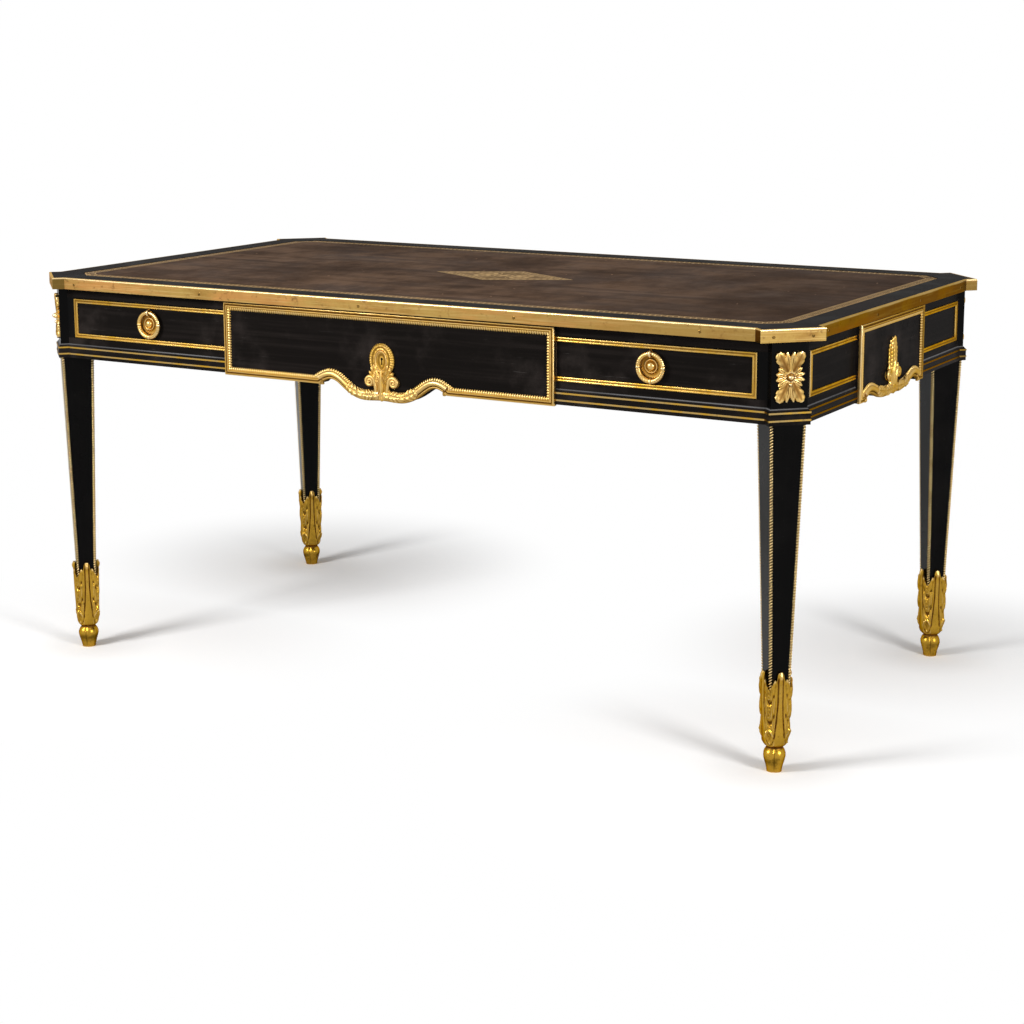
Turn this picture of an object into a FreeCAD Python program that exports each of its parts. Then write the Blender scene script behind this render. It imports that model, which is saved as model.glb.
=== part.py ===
import FreeCAD, Part
import math
import os

os.makedirs("parts", exist_ok=True)
V = FreeCAD.Vector

# The desk stands on z = 0 with its front toward -Y. Sizes are in millimetres.

# Top
desk_height = 770.0
top_length = 1644.0
top_depth = 902.0
top_thickness = 22.3
corner_cut = 81.5
corner_stand_out = 23.3
brass_thickness = 4.0
brass_round = 2.0
leather_border = 53.0
leather_thickness = 1.6
leather_recess = 2.0
leather_corner_cut = 36.0
leather_corner_round = 24.0

# Legs and their posts, square in plan and turned 45 degrees
leg_inset = 56.0
post_width = 64.6
leg_top_width = 62.0
leg_sabot_width = 38.0
leg_edge_flat = 5.0
rope_stand_out = 3.6

# Sabots, from the floor up
foot_heel_height = 15.0
foot_bulge_height = 32.0
foot_neck_height = 42.0
sabot_cup_height = 47.0
sabot_waist_height = 60.0
sabot_swell_height = 137.0
sabot_top_height = 177.0
sabot_corner_dip = 22.0
sabot_notch_round = 14.0
foot_width = 30.0
foot_heel_width = 33.4
foot_bulge_width = 44.0
foot_neck_width = 24.6
sabot_waist_width = 46.0
sabot_swell_width = 54.0
sabot_lip_width = 47.0
sabot_floor = 5.0

# Frieze under the top
front_overhang = 22.0
side_overhang = 18.5
frieze_height = 139.7
board_thickness = 22.0
drawer_rail_height = 40.0
drawer_rail_depth = 60.0
top_rail_height = 19.7
top_rail_depth = 40.0
stile_width = 17.3
divider_thickness = 18.0
tenon_thickness = 10.0
tenon_shoulder = 5.0
tenon_end_wood = 4.0

# Base moulding and its two string lines
base_height = 28.0
base_stand_out = 4.5
base_shoulder = 6.0
string_height = 3.0
string_stand_out = 0.8
string_spacing = 12.7
string_low = 8.0

# Raised blocks in the middle of each side, with a shaped lower edge
front_block_length = 715.0
side_block_length = 320.0
block_thickness = 7.0
block_top_gap = 7.0
block_drop = 2.3
block_ear = 140.0
block_arch = 112.0
block_flank = 83.0
block_lobe = 48.0
arch_rise = 11.3
front_lobe_drop = 20.0
side_lobe_drop = 3.0
lobe_dip = 0.6
apron_notch = 16.0
apron_margin = 12.5
block_frame_width = 14.5
block_frame_foot = 18.0
block_frame_thickness = 4.2
frame_ridge_width = 2.8
frame_groove_width = 1.4
frame_bead_width = 5.0
frame_hollow = 1.8

# Reeded frames on the panels and outer drawers
panel_frame_width = 9.0
panel_frame_thickness = 3.0
reed_foot = 1.0
side_panel_margin = 15.3

# Mounts on the posts and blocks
corner_mount_lift = 80.5
corner_leaf_length = 49.0
corner_leaf_width = 23.0
corner_leaf_turn = 29.0
corner_slim_length = 41.0
corner_slim_width = 10.0
corner_slim_turn = 8.5
corner_lobe_length = 23.0
corner_lobe_width = 13.0
corner_lobe_turn = 73.0
corner_mount_thickness = 5.0
corner_boss_width = 15.0
leaf_mount_thickness = 6.0
leaf_mount_width = 44.0
leaf_mount_lobes = 4
leaf_lobe_radius = 9.0
volute_radius = 10.0
volute_spread = 28.0
volute_lift = 35.0
mount_branch_length = 36.0
mount_branch_width = 11.0
mount_branch_turn = 50.0
mount_branch_lift = 12.0
mount_drop_radius = 9.0
mount_stem_width = 15.0
escutcheon_width = 54.0
escutcheon_height = 59.0
escutcheon_rim = 14.0
escutcheon_dish = 2.4
leaf_mount_above = 37.0
escutcheon_above = 51.7
keyhole_width = 6.0
keyhole_drop = 33.0
keyhole_slot = 9.0

# Drawers
drawer_gap = 0.8
drawer_play = 1.5
post_play = 3.0
drawer_depth = 560.0
drawer_front_thickness = 16.0
drawer_side_thickness = 11.0
drawer_back_thickness = 10.0
drawer_headroom = 8.0
drawer_bottom_lift = 6.0
drawer_bottom_thickness = 7.0
drawer_groove = 5.0
runner_width = 22.0
runner_height = 14.0
guide_width = 16.0
guide_height = 30.0
kicker_height = 12.0

# Lock of the centre drawer
lock_width = 70.0
lock_height = 54.0
lock_thickness = 13.0
bolt_width = 20.0
bolt_thickness = 6.0
bolt_length = 26.0
bolt_travel = 8.0
bolt_play = 0.5

# Ring pulls
pull_height = 39.5
ring_radius = 23.5
ring_bar = 8.0
ring_bar_sides = 6
ring_stand_off = 7.0
ring_play = 0.5
eye_width = 5.0
eye_wall = 2.5
rosette_radius = 20.0
rosette_lift = 3.5
rosette_thickness = 2.5
rosette_rim_radius = 12.0
rosette_rim_height = 6.0
knob_radius = 7.5
knob_height = 12.0

# Positions that follow from the sizes above
root_two = math.sqrt(2)
half_length = top_length / 2
half_depth = top_depth / 2
top_underside = desk_height - top_thickness
frieze_bottom = top_underside - frieze_height
front_plane = half_depth - front_overhang
side_plane = half_length - side_overhang
leg_x = half_length - leg_inset
leg_y = half_depth - leg_inset
post_reach = post_width / root_two
post_inner = leg_x - post_reach
post_edge_front = leg_x - (post_reach - (front_plane - leg_y))
post_edge_side = leg_y - (post_reach - (side_plane - leg_x))
opening_bottom = frieze_bottom + drawer_rail_height
opening_top = top_underside - top_rail_height
block_top = top_underside - block_top_gap
block_bottom = frieze_bottom - block_drop
notch_top = frieze_bottom + apron_notch
front_block_half = front_block_length / 2
side_block_half = side_block_length / 2
stile_inner = post_edge_front - stile_width
side_panel_end = post_edge_side - side_panel_margin
panel_bottom = opening_bottom + drawer_gap
panel_top = opening_top - drawer_gap
back_inner = front_plane - board_thickness

CORNERS = (("front_right", 45, 1, -1), ("back_right", 135, 1, 1),
           ("back_left", 225, -1, 1), ("front_left", 315, -1, -1))
SIDES = {"front": (0, front_plane), "right": (90, side_plane),
         "back": (180, front_plane), "left": (270, side_plane)}


# Helpers
def box(x0, x1, y0, y1, z0, z1):
    return Part.makeBox(x1 - x0, y1 - y0, z1 - z0, V(x0, y0, z0))


def prism(points, z0, z1):
    corners = [V(x, y, z0) for x, y in points]
    return Part.Face(Part.makePolygon(corners + corners[:1])).extrude(V(0, 0, z1 - z0))


def plate(points, thickness):
    """Flat plate standing on the plane y = 0, its face toward -Y, outline given as (x, z)."""
    corners = [V(x, 0, z) for x, z in points]
    return Part.Face(Part.makePolygon(corners + corners[:1])).extrude(V(0, -thickness, 0))


def octagon(width, flat, z):
    """Closed square outline with its corners cut off by flat."""
    half = width / 2
    inner = half - flat
    points = ((inner, -half), (half, -inner), (half, inner), (inner, half),
              (-inner, half), (-half, inner), (-half, -inner), (-inner, -half))
    corners = [V(x, y, z) for x, y in points]
    return Part.makePolygon(corners + corners[:1])


def square_tower(levels):
    """Solid with straight sides between square levels, each (z, width)."""
    wires = []
    for z, width in levels:
        h = width / 2
        corners = [V(-h, -h, z), V(h, -h, z), V(h, h, z), V(-h, h, z)]
        wires.append(Part.makePolygon(corners + corners[:1]))
    return Part.makeLoft(wires, True, True)


def on_side(shape, side):
    """Carry a piece modelled on the plane y = 0 to one side of the desk."""
    angle, distance = SIDES[side]
    moved = shape.copy()
    moved.translate(V(0, -distance, 0))
    moved.rotate(V(0, 0, 0), V(0, 0, 1), angle)
    return moved


def at_corner(shape, corner):
    """Carry a piece modelled about the Z axis, outer face toward -Y, to one leg."""
    name, angle, sign_x, sign_y = corner
    moved = shape.copy()
    moved.rotate(V(0, 0, 0), V(0, 0, 1), angle)
    moved.translate(V(sign_x * leg_x, sign_y * leg_y, 0))
    return moved


def mirrored(shape):
    return shape.mirror(V(0, 0, 0), V(1, 0, 0))


def both(shape):
    return [shape, mirrored(shape)]


def group(shapes):
    return Part.makeCompound([solid for shape in shapes for solid in shape.Solids])


def save(name, shape):
    shape.exportStep("parts/" + name + ".step")


# Top panel, leather and brass edge
def top_outline(inset):
    """Corner points of the top, moved inward by inset."""
    middle = corner_cut / 2
    side = corner_cut / root_two - inset
    root = inset * (1 - root_two)
    tip = corner_stand_out - inset
    quarter = []
    for along, across in ((root, -side), (tip, -side), (tip, side), (root, side)):
        x = half_length - middle + (along + across) / root_two
        y = half_depth - middle + (along - across) / root_two
        quarter.append((x, y))
    forward = [(x, -y) for x, y in quarter]
    back = quarter[::-1]
    return forward + back + [(-x, y) for x, y in back[::-1]] + [(-x, y) for x, y in forward[::-1]]


def leather_sheet(z0, z1):
    x = half_length - leather_border
    y = half_depth - leather_border
    c = leather_corner_cut
    points = [(x - c, -y), (x, c - y), (x, y - c), (x - c, y),
              (c - x, y), (-x, y - c), (-x, c - y), (c - x, -y)]
    sheet = prism(points, z0, z1)
    upright = [e for e in sheet.Edges if abs(e.Vertexes[0].Z - e.Vertexes[1].Z) > (z1 - z0) / 2]
    return sheet.makeFillet(leather_corner_round, upright)


recess_floor = desk_height - leather_recess
top_body = prism(top_outline(brass_thickness), top_underside, desk_height)
save("top_panel", top_body.cut(leather_sheet(recess_floor, desk_height)))
save("writing_leather", leather_sheet(recess_floor, recess_floor + leather_thickness))

brass_ring = prism(top_outline(0), top_underside, desk_height).cut(top_body)
far = top_length


def corner_region(corner):
    """Space beyond the line where one corner block leaves the main outline."""
    name, angle, sign_x, sign_y = corner
    region = box(-far, far, -far, 0, 0, desk_height)
    region.rotate(V(0, 0, 0), V(0, 0, 1), angle)
    region.translate(V(sign_x * (half_length - corner_cut / 2), sign_y * (half_depth - corner_cut / 2), 0))
    return region


def rounded_edge(strip):
    """Round the upper outer edges of a brass strip."""
    inner = top_body.copy()
    edges = []
    for edge in strip.Edges:
        level = all(abs(v.Z - desk_height) < 0.01 for v in edge.Vertexes)
        middle = edge.valueAt((edge.FirstParameter + edge.LastParameter) / 2)
        outside = inner.distToShape(Part.Vertex(middle))[0] > brass_thickness - 0.01
        if level and outside and edge.Length > 2 * brass_thickness:
            edges.append(edge)
    return strip.makeFillet(brass_round, edges)


corner_regions = [corner_region(corner) for corner in CORNERS]
straight_brass = brass_ring.cut(Part.makeCompound(corner_regions))
for strip in straight_brass.Solids:
    centre = strip.CenterOfMass
    if abs(centre.x) > abs(centre.y):
        side_name = "right" if centre.x > 0 else "left"
    else:
        side_name = "back" if centre.y > 0 else "front"
    save("edge_strip_" + side_name, rounded_edge(strip))
save("edge_strip_corners", group([rounded_edge(brass_ring.common(r).Solids[0]) for r in corner_regions]))

# Legs, rope mouldings and sabots, modelled about the Z axis
leg_slope = (leg_top_width - leg_sabot_width) / (frieze_bottom - sabot_top_height)


def leg_width(z):
    return leg_top_width - leg_slope * (frieze_bottom - z)


def rope_bar(z0, z1):
    """Half-round bar lying on the cut edge of the leg between two heights."""
    foot = leg_width(z0) / 2 - leg_edge_flat / 2
    head = leg_width(z1) / 2 - leg_edge_flat / 2
    half = leg_edge_flat / root_two
    section = []
    for step in range(5):
        turn = math.pi * step / 4
        section.append((half * math.cos(turn), rope_stand_out * math.sin(turn)))
    points = []
    for across, out in section:
        points.append(V(foot + (across + out) / root_two, foot + (out - across) / root_two, z0))
    face = Part.Face(Part.makePolygon(points + points[:1]))
    return face.extrude(V(head - foot, head - foot, z1 - z0))


sabot_inside = sabot_cup_height + sabot_floor
rope_foot = sabot_top_height - sabot_corner_dip - sabot_floor
post = square_tower(((frieze_bottom, post_width), (top_underside, post_width)))
tapered = Part.makeLoft([octagon(leg_width(sabot_inside), leg_edge_flat, sabot_inside),
                         octagon(leg_width(frieze_bottom), leg_edge_flat, frieze_bottom)], True, True)
leg = post.fuse(tapered)
ropes = []
for turn in range(4):
    rope = rope_bar(rope_foot, frieze_bottom)
    rope.rotate(V(0, 0, 0), V(0, 0, 1), 90 * turn)
    ropes.append(rope)


def sabot_solid():
    """Block foot and leaf cup round the end of the leg."""
    levels = ((0, foot_width), (foot_heel_height, foot_heel_width), (foot_bulge_height, foot_bulge_width),
              (foot_neck_height, foot_neck_width), (sabot_cup_height, foot_heel_width),
              (sabot_waist_height, sabot_waist_width), (sabot_swell_height, sabot_swell_width),
              (sabot_top_height, sabot_lip_width))
    wires = [octagon(width, width / 6, z) for z, width in levels]
    solid = Part.makeLoft(wires, True, True).cut(tapered)
    reach = sabot_swell_width
    notch_z = sabot_top_height - sabot_corner_dip + sabot_notch_round
    for turn in range(4):
        notch = Part.makeCylinder(sabot_notch_round, reach, V(0, 0, notch_z), V(1, 0, 0))
        notch = notch.fuse(box(0, reach, -sabot_notch_round, sabot_notch_round, notch_z, sabot_top_height))
        notch.rotate(V(0, 0, 0), V(0, 0, 1), 90 * turn + 45)
        solid = solid.cut(notch)
    return solid.cut(Part.makeCompound(ropes))


sabot = sabot_solid()
posts = Part.makeCompound([at_corner(post, corner) for corner in CORNERS])
post_faces = [at_corner(box(-far, far, -far, -post_width / 2, 0, desk_height), corner) for corner in CORNERS]


def within(margin):
    """Space inside the frieze and the outer faces of the posts, the frieze moved out by margin."""
    x = side_plane + margin
    y = front_plane + margin
    return box(-x, x, -y, y, 0, desk_height).cut(Part.makeCompound(post_faces))


# Boards of the frieze, each tenoned into the posts at its ends
def fixed_frieze(side, half_run, notch_half):
    board = box(-half_run, half_run, 0, board_thickness, frieze_bottom, top_underside)
    board = board.cut(box(-notch_half, notch_half, 0, board_thickness, frieze_bottom, notch_top))
    board = on_side(board, side).cut(posts)
    reach = half_run - tenon_end_wood
    tenon = box(-reach, reach, tenon_shoulder, tenon_shoulder + tenon_thickness,
                notch_top + tenon_shoulder, top_underside - tenon_shoulder)
    tenon = on_side(tenon, side)
    return board.fuse(tenon).removeSplitter(), tenon


front_notch_half = front_block_half - apron_margin
side_notch_half = side_block_half - apron_margin
frieze_back, tenon_back = fixed_frieze("back", leg_x, front_notch_half)
frieze_left, tenon_left = fixed_frieze("left", leg_y, side_notch_half)
frieze_right, tenon_right = fixed_frieze("right", leg_y, side_notch_half)
save("frieze_back", frieze_back)
save("frieze_left", frieze_left)
save("frieze_right", frieze_right)


def front_rail(depth, z0, z1):
    rail = box(-leg_x, leg_x, -front_plane, depth - front_plane, z0, z1).cut(posts)
    reach = leg_x - tenon_end_wood
    tenon_front = tenon_shoulder - front_plane
    tenon = box(-reach, reach, tenon_front, tenon_front + tenon_thickness,
                z0 + tenon_shoulder, z1 - tenon_shoulder)
    return rail, tenon


top_rail, tenon_top = front_rail(top_rail_depth, opening_top, top_underside)
bolt_y = drawer_front_thickness - front_plane + (lock_thickness - bolt_thickness) / 2
mortise = box(-bolt_width / 2 - bolt_play, bolt_width / 2 + bolt_play, bolt_y - bolt_play,
              bolt_y + bolt_thickness + bolt_play, opening_top, opening_top + bolt_travel)
save("front_top_rail", top_rail.fuse(tenon_top).removeSplitter().cut(mortise))
drawer_rail, tenon_rail = front_rail(drawer_rail_depth, frieze_bottom, opening_bottom)
drawer_rail = drawer_rail.fuse(tenon_rail).removeSplitter()
rail_notch = box(-front_notch_half, front_notch_half, -front_plane, drawer_rail_depth - front_plane,
                 frieze_bottom, notch_top)
save("front_drawer_rail", drawer_rail.cut(rail_notch))

tenons = Part.makeCompound([tenon_back, tenon_left, tenon_right, tenon_top, tenon_rail])
for corner in CORNERS:
    save("leg_" + corner[0], at_corner(leg, corner).cut(tenons))
    save("sabot_" + corner[0], at_corner(sabot, corner))
save("leg_rope_mouldings", group([at_corner(rope, corner) for corner in CORNERS for rope in ropes]))

stile = box(stile_inner, leg_x, -front_plane, drawer_front_thickness - front_plane,
            opening_bottom, opening_top)
save("front_stiles", group(both(stile.cut(posts))))

# Dividers, runners, guides and kickers that carry the drawers
divider_inner = front_block_half - divider_thickness
rail_back = drawer_rail_depth - front_plane
top_rail_back = top_rail_depth - front_plane
runner_bottom = opening_bottom - runner_height
divider_profile = ((-front_plane, opening_bottom), (-front_plane, opening_top), (top_rail_back, opening_top),
                   (top_rail_back, top_underside), (back_inner, top_underside), (back_inner, runner_bottom),
                   (rail_back, runner_bottom), (rail_back, opening_bottom))
divider_corners = [V(divider_inner, y, z) for y, z in divider_profile]
divider_face = Part.Face(Part.makePolygon(divider_corners + divider_corners[:1]))
divider = divider_face.extrude(V(divider_thickness, 0, 0))
save("drawer_divider_right", divider)
save("drawer_divider_left", mirrored(divider))

outer_drawer_end = post_inner - post_play
guide_inner = outer_drawer_end + drawer_play
guide_outer = guide_inner + guide_width
runner_spans = ((divider_inner - runner_width, divider_inner),
                (front_block_half, front_block_half + runner_width),
                (outer_drawer_end - runner_width, guide_outer))
runners = []
kickers = []
for x0, x1 in runner_spans:
    runner = box(x0, x1, rail_back, back_inner, runner_bottom, opening_bottom)
    runners += both(runner.cut(posts))
    kicker_end = min(x1, post_inner)
    kicker = box(x0, kicker_end, top_rail_back, back_inner, opening_top, opening_top + kicker_height)
    kickers += both(kicker)
save("drawer_runners", group(runners))
save("drawer_kickers", group(kickers))
guide_run = leg_y - post_reach
guide = box(guide_inner, guide_outer, -guide_run, guide_run, opening_bottom, opening_bottom + guide_height)
save("drawer_guides", group(both(guide)))

# Base moulding and string lines
base_top = frieze_bottom + base_height
collar_width = post_width + 2 * base_stand_out
collar = square_tower(((frieze_bottom, collar_width), (base_top - base_shoulder, collar_width),
                       (base_top, post_width)))
collars = [at_corner(collar, corner) for corner in CORNERS]
string_levels = (frieze_bottom + string_low, frieze_bottom + string_low + string_spacing)
string_width = collar_width + 2 * string_stand_out
mouldings = [c.cut(posts).cut(within(0)) for c in collars]
strings = []
string_collars = []
for z in string_levels:
    levels = ((z - string_height / 2, string_width), (z + string_height / 2, string_width))
    band = square_tower(levels)
    for corner in CORNERS:
        whole = at_corner(band, corner)
        string_collars.append(whole)
        strings.append(whole.cut(Part.makeCompound(collars)).cut(within(base_stand_out)))
for side, block_half, run in (("front", front_block_half, leg_x), ("back", front_block_half, leg_x),
                              ("left", side_block_half, leg_y), ("right", side_block_half, leg_y)):
    profile = ((0, frieze_bottom), (-base_stand_out, frieze_bottom),
               (-base_stand_out, base_top - base_shoulder), (0, base_top))
    for start in (block_half, -run):
        corners = [V(start, y, z) for y, z in profile]
        bar = Part.Face(Part.makePolygon(corners + corners[:1])).extrude(V(run - block_half, 0, 0))
        mouldings.append(on_side(bar, side).cut(Part.makeCompound(collars)))
        for z in string_levels:
            line = box(start, start + run - block_half, -base_stand_out - string_stand_out, -base_stand_out,
                       z - string_height / 2, z + string_height / 2)
            strings.append(on_side(line, side).cut(Part.makeCompound(string_collars)))
save("base_mouldings", group(mouldings))
save("string_lines", group(strings))


# Raised blocks with a lobed lower edge between two arches
def lower_edge(ear, arch_z, lobe_z, foot_z):
    """Curve of the shaped lower edge from one ear to the other."""
    right = [(block_lobe, lobe_z - lobe_dip), (block_flank, (arch_z + lobe_z) / 2),
             (block_arch, arch_z), (ear, foot_z)]
    points = [(-x, z) for x, z in right[::-1]] + [(0, lobe_z)] + right
    curve = Part.BSplineCurve()
    curve.interpolate([V(x, 0, z) for x, z in points])
    return curve.toShape()


def block_face(half, ear, foot_z, top_z, arch_z, lobe_z):
    """Face of a block, straight on three sides and shaped below."""
    edges = [lower_edge(ear, arch_z, lobe_z, foot_z)]
    straight = [V(ear, 0, foot_z), V(half, 0, foot_z), V(half, 0, top_z),
                V(-half, 0, top_z), V(-half, 0, foot_z), V(-ear, 0, foot_z)]
    for a, b in zip(straight, straight[1:]):
        if a.distanceToPoint(b) > 0.1:
            edges.append(Part.makeLine(a, b))
    return Part.Face(Part.Wire(Part.sortEdges(edges)[0]))


def raised_block(half, lobe_drop, clearance):
    """Block plate, the apron behind its lower edge, and the gilt frame on its face."""
    arch_z = block_bottom + arch_rise
    lobe_z = block_bottom - lobe_drop
    outline = block_face(half, block_ear, block_bottom, block_top, arch_z, lobe_z)
    body = outline.extrude(V(0, -block_thickness, 0))
    apron_half = half - apron_margin - clearance
    apron_space = box(-apron_half, apron_half, 0, board_thickness, 0, notch_top - clearance)
    apron = outline.extrude(V(0, board_thickness, 0)).common(apron_space)

    def inset(distance):
        """Face of the block moved in from its edge, further at the shaped foot."""
        inner = half - distance
        rise = distance * block_frame_foot / block_frame_width
        return block_face(inner, min(block_ear + distance, inner), block_bottom + distance,
                          block_top - distance, arch_z + rise, lobe_z + rise)

    bead_start = frame_ridge_width + frame_groove_width
    leaf_start = bead_start + frame_bead_width
    hole = inset(block_frame_width)
    frame = outline.cut(hole).extrude(V(0, -block_frame_thickness, 0))
    for hollow in (inset(frame_ridge_width).cut(inset(bead_start)), inset(leaf_start).cut(hole)):
        hollow.translate(V(0, frame_hollow - block_frame_thickness, 0))
        frame = frame.cut(hollow.extrude(V(0, -frame_hollow, 0)))
    frame.translate(V(0, -block_thickness, 0))
    return body, apron, frame


def leaf_face(length, width, turn=0.0, foot=V(0, 0, 0)):
    """Pointed leaf between two arcs, standing on its foot and turned about it."""
    tip = V(0, 0, length)
    root = V(0, 0, 0)
    right = Part.Arc(root, V(width / 2, 0, length / 2), tip).toShape()
    left = Part.Arc(tip, V(-width / 2, 0, length / 2), root).toShape()
    face = Part.Face(Part.Wire([right, left]))
    face.rotate(root, V(0, 1, 0), turn)
    face.translate(foot)
    return face


def disc(radius, x, z):
    return Part.Face(Part.Wire(Part.makeCircle(radius, V(x, 0, z), V(0, 1, 0))))


def fused_plates(faces, thickness):
    """Flat pieces on the plane y = 0 as one plate toward -Y."""
    plates = [face.extrude(V(0, -thickness, 0)) for face in faces]
    solids = [solid if solid.Volume > 0 else solid.reversed() for solid in plates]
    return solids[0].fuse(solids[1:]).removeSplitter()


def mount_foot(low):
    """Drop, two volutes and the leaf that carries each volute, at the foot of a mount."""
    faces = [disc(mount_drop_radius, 0, low + mount_drop_radius)]
    for sign in (-1, 1):
        faces.append(disc(volute_radius, sign * volute_spread, low + volute_lift))
        faces.append(leaf_face(mount_branch_length, mount_branch_width, sign * mount_branch_turn,
                               V(0, 0, low + mount_branch_lift)))
    return faces


def on_frame(faces, frame):
    """Plate of a mount on its block, let over the frame."""
    solid = fused_plates(faces, block_frame_thickness + leaf_mount_thickness)
    solid.translate(V(0, -block_thickness, 0))
    return solid.cut(frame)


def leaf_mount(lobe_drop, frame):
    """Tall lobed leaf between two volutes."""
    low = block_bottom - lobe_drop
    root = low + mount_branch_lift
    length = block_top - leaf_mount_above - root
    faces = mount_foot(low) + [leaf_face(length, leaf_mount_width, 0, V(0, 0, root))]
    for lobe in range(leaf_mount_lobes):
        share = (lobe + 1) / (leaf_mount_lobes + 1)
        x = leaf_mount_width / 2 * math.sin(math.pi * share) - leaf_lobe_radius / 2
        faces += [disc(leaf_lobe_radius, sign * x, root + share * length) for sign in (-1, 1)]
    return on_frame(faces, frame)


def keyhole_mount(lobe_drop, frame):
    """Oval dished plate on a stem between two volutes."""
    low = block_bottom - lobe_drop
    centre = V(0, 0, block_top - escutcheon_above - escutcheon_height / 2)

    def oval(width, height):
        edge = Part.Ellipse(V(0, 0, 0), height / 2, width / 2).toShape()
        edge.rotate(V(0, 0, 0), V(1, 0, 0), 90)
        edge.rotate(V(0, 0, 0), V(0, 1, 0), 90)
        edge.translate(centre)
        return Part.Face(Part.Wire(edge))

    foot = low + mount_drop_radius
    stem = [V(-mount_stem_width / 2, 0, foot), V(mount_stem_width / 2, 0, foot),
            V(mount_stem_width / 3, 0, centre.z), V(-mount_stem_width / 3, 0, centre.z)]
    stem_face = Part.Face(Part.makePolygon(stem + stem[:1]))
    solid = on_frame(mount_foot(low) + [stem_face, oval(escutcheon_width, escutcheon_height)], frame)
    dish = oval(escutcheon_width - 2 * escutcheon_rim, escutcheon_height - 2 * escutcheon_rim)
    front = block_thickness + block_frame_thickness + leaf_mount_thickness
    dish.translate(V(0, escutcheon_dish - front, 0))
    return solid.cut(dish.extrude(V(0, -escutcheon_dish, 0)))


side_body, side_apron, side_frame = raised_block(side_block_half, side_lobe_drop, 0)
back_body, back_apron, back_frame = raised_block(front_block_half, front_lobe_drop, 0)
side_leaf = leaf_mount(side_lobe_drop, side_frame)
back_leaf = leaf_mount(front_lobe_drop, back_frame)
save("end_block_left", on_side(side_body, "left"))
save("end_block_right", on_side(side_body, "right"))
save("back_block", on_side(back_body, "back"))


def on_fixed_sides(side_piece, back_piece):
    return group([on_side(side_piece, "left"), on_side(side_piece, "right"), on_side(back_piece, "back")])


save("block_aprons", on_fixed_sides(side_apron, back_apron))
save("block_frames", on_fixed_sides(side_frame, back_frame))
save("block_leaf_mounts", on_fixed_sides(side_leaf, back_leaf))


# Reeded frames, open toward the block, with mitred corners
def reed_section():
    """Section of two half-round reeds side by side, as distance across the frame and height."""
    reed = panel_frame_width / 2
    high = panel_frame_thickness - reed_foot
    section = [(0, 0), (0, reed_foot)]
    for start in (0, reed):
        for step in range(1, 5):
            turn = math.pi * step / 4
            section.append((start + reed * (1 - math.cos(turn)) / 2, reed_foot + high * math.sin(turn)))
    return section + [(panel_frame_width, 0)]


def reeded_frame(start, end):
    """Upper, lower and end bar of a frame, each as long as the panel and mitred at the end."""
    w = panel_frame_width
    upper = [V(start, -out, panel_top - across) for across, out in reed_section()]
    lower = [V(start, -out, panel_bottom + across) for across, out in reed_section()]
    upright = [V(end - across, -out, panel_bottom) for across, out in reed_section()]
    upper_space = ((start, panel_top), (end, panel_top), (end - w, panel_top - w), (start, panel_top - w))
    lower_space = ((start, panel_bottom), (end, panel_bottom), (end - w, panel_bottom + w),
                   (start, panel_bottom + w))
    upright_space = ((end, panel_top), (end, panel_bottom), (end - w, panel_bottom + w),
                     (end - w, panel_top - w))
    along = V(end - start, 0, 0)
    bars = []
    for section, run, space in ((upper, along, upper_space), (lower, along, lower_space),
                                (upright, V(0, 0, panel_top - panel_bottom), upright_space)):
        bar = Part.Face(Part.makePolygon(section + section[:1])).extrude(run)
        bars.append(bar.common(plate(space, panel_frame_thickness)))
    return bars


fixed_frames = []
for side, start, end in (("left", side_block_half, side_panel_end),
                         ("right", side_block_half, side_panel_end), ("back", front_block_half, stile_inner)):
    for bar in reeded_frame(start, end):
        fixed_frames += [on_side(piece, side) for piece in both(bar)]
save("panel_frames", group(fixed_frames))


# Acanthus mounts on the outer faces of the posts
def corner_mount():
    """Four broad leaves round a boss, slim leaves above and below, and lobes at the sides."""
    faces = []
    for length, width, turn in ((corner_leaf_length, corner_leaf_width, corner_leaf_turn),
                                (corner_slim_length, corner_slim_width, corner_slim_turn),
                                (corner_lobe_length, corner_lobe_width, corner_lobe_turn)):
        faces += [leaf_face(length, width, angle) for angle in (turn, -turn, 180 - turn, turn - 180)]
    leaves = fused_plates(faces, corner_mount_thickness)
    boss = Part.makeCone(corner_boss_width / 2, corner_boss_width / 4, 2 * corner_mount_thickness,
                         V(0, 0, 0), V(0, -1, 0))
    mount = leaves.fuse(boss).removeSplitter()
    mount.translate(V(0, -post_width / 2, frieze_bottom + corner_mount_lift))
    return mount


save("corner_mounts", group([at_corner(corner_mount(), corner) for corner in CORNERS]))

# Centre drawer
front_back = drawer_front_thickness - front_plane
drawer_end = drawer_depth - front_plane
side_top = opening_top - drawer_headroom
floor_bottom = opening_bottom + drawer_bottom_lift
floor_top = floor_bottom + drawer_bottom_thickness


def drawer_box(x0, x1):
    """Sides, back and bottom of a drawer whose sides run between x0 and x1."""
    inner0 = x0 + drawer_side_thickness
    inner1 = x1 - drawer_side_thickness
    bottom = box(inner0 - drawer_groove, inner1 + drawer_groove, front_back - drawer_groove, drawer_end,
                 floor_bottom, floor_top)
    sides = [box(x0, inner0, front_back, drawer_end, opening_bottom, side_top).cut(bottom),
             box(inner1, x1, front_back, drawer_end, opening_bottom, side_top).cut(bottom)]
    back = box(inner0, inner1, drawer_end - drawer_back_thickness, drawer_end, floor_top, side_top)
    return sides, back, bottom


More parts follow.
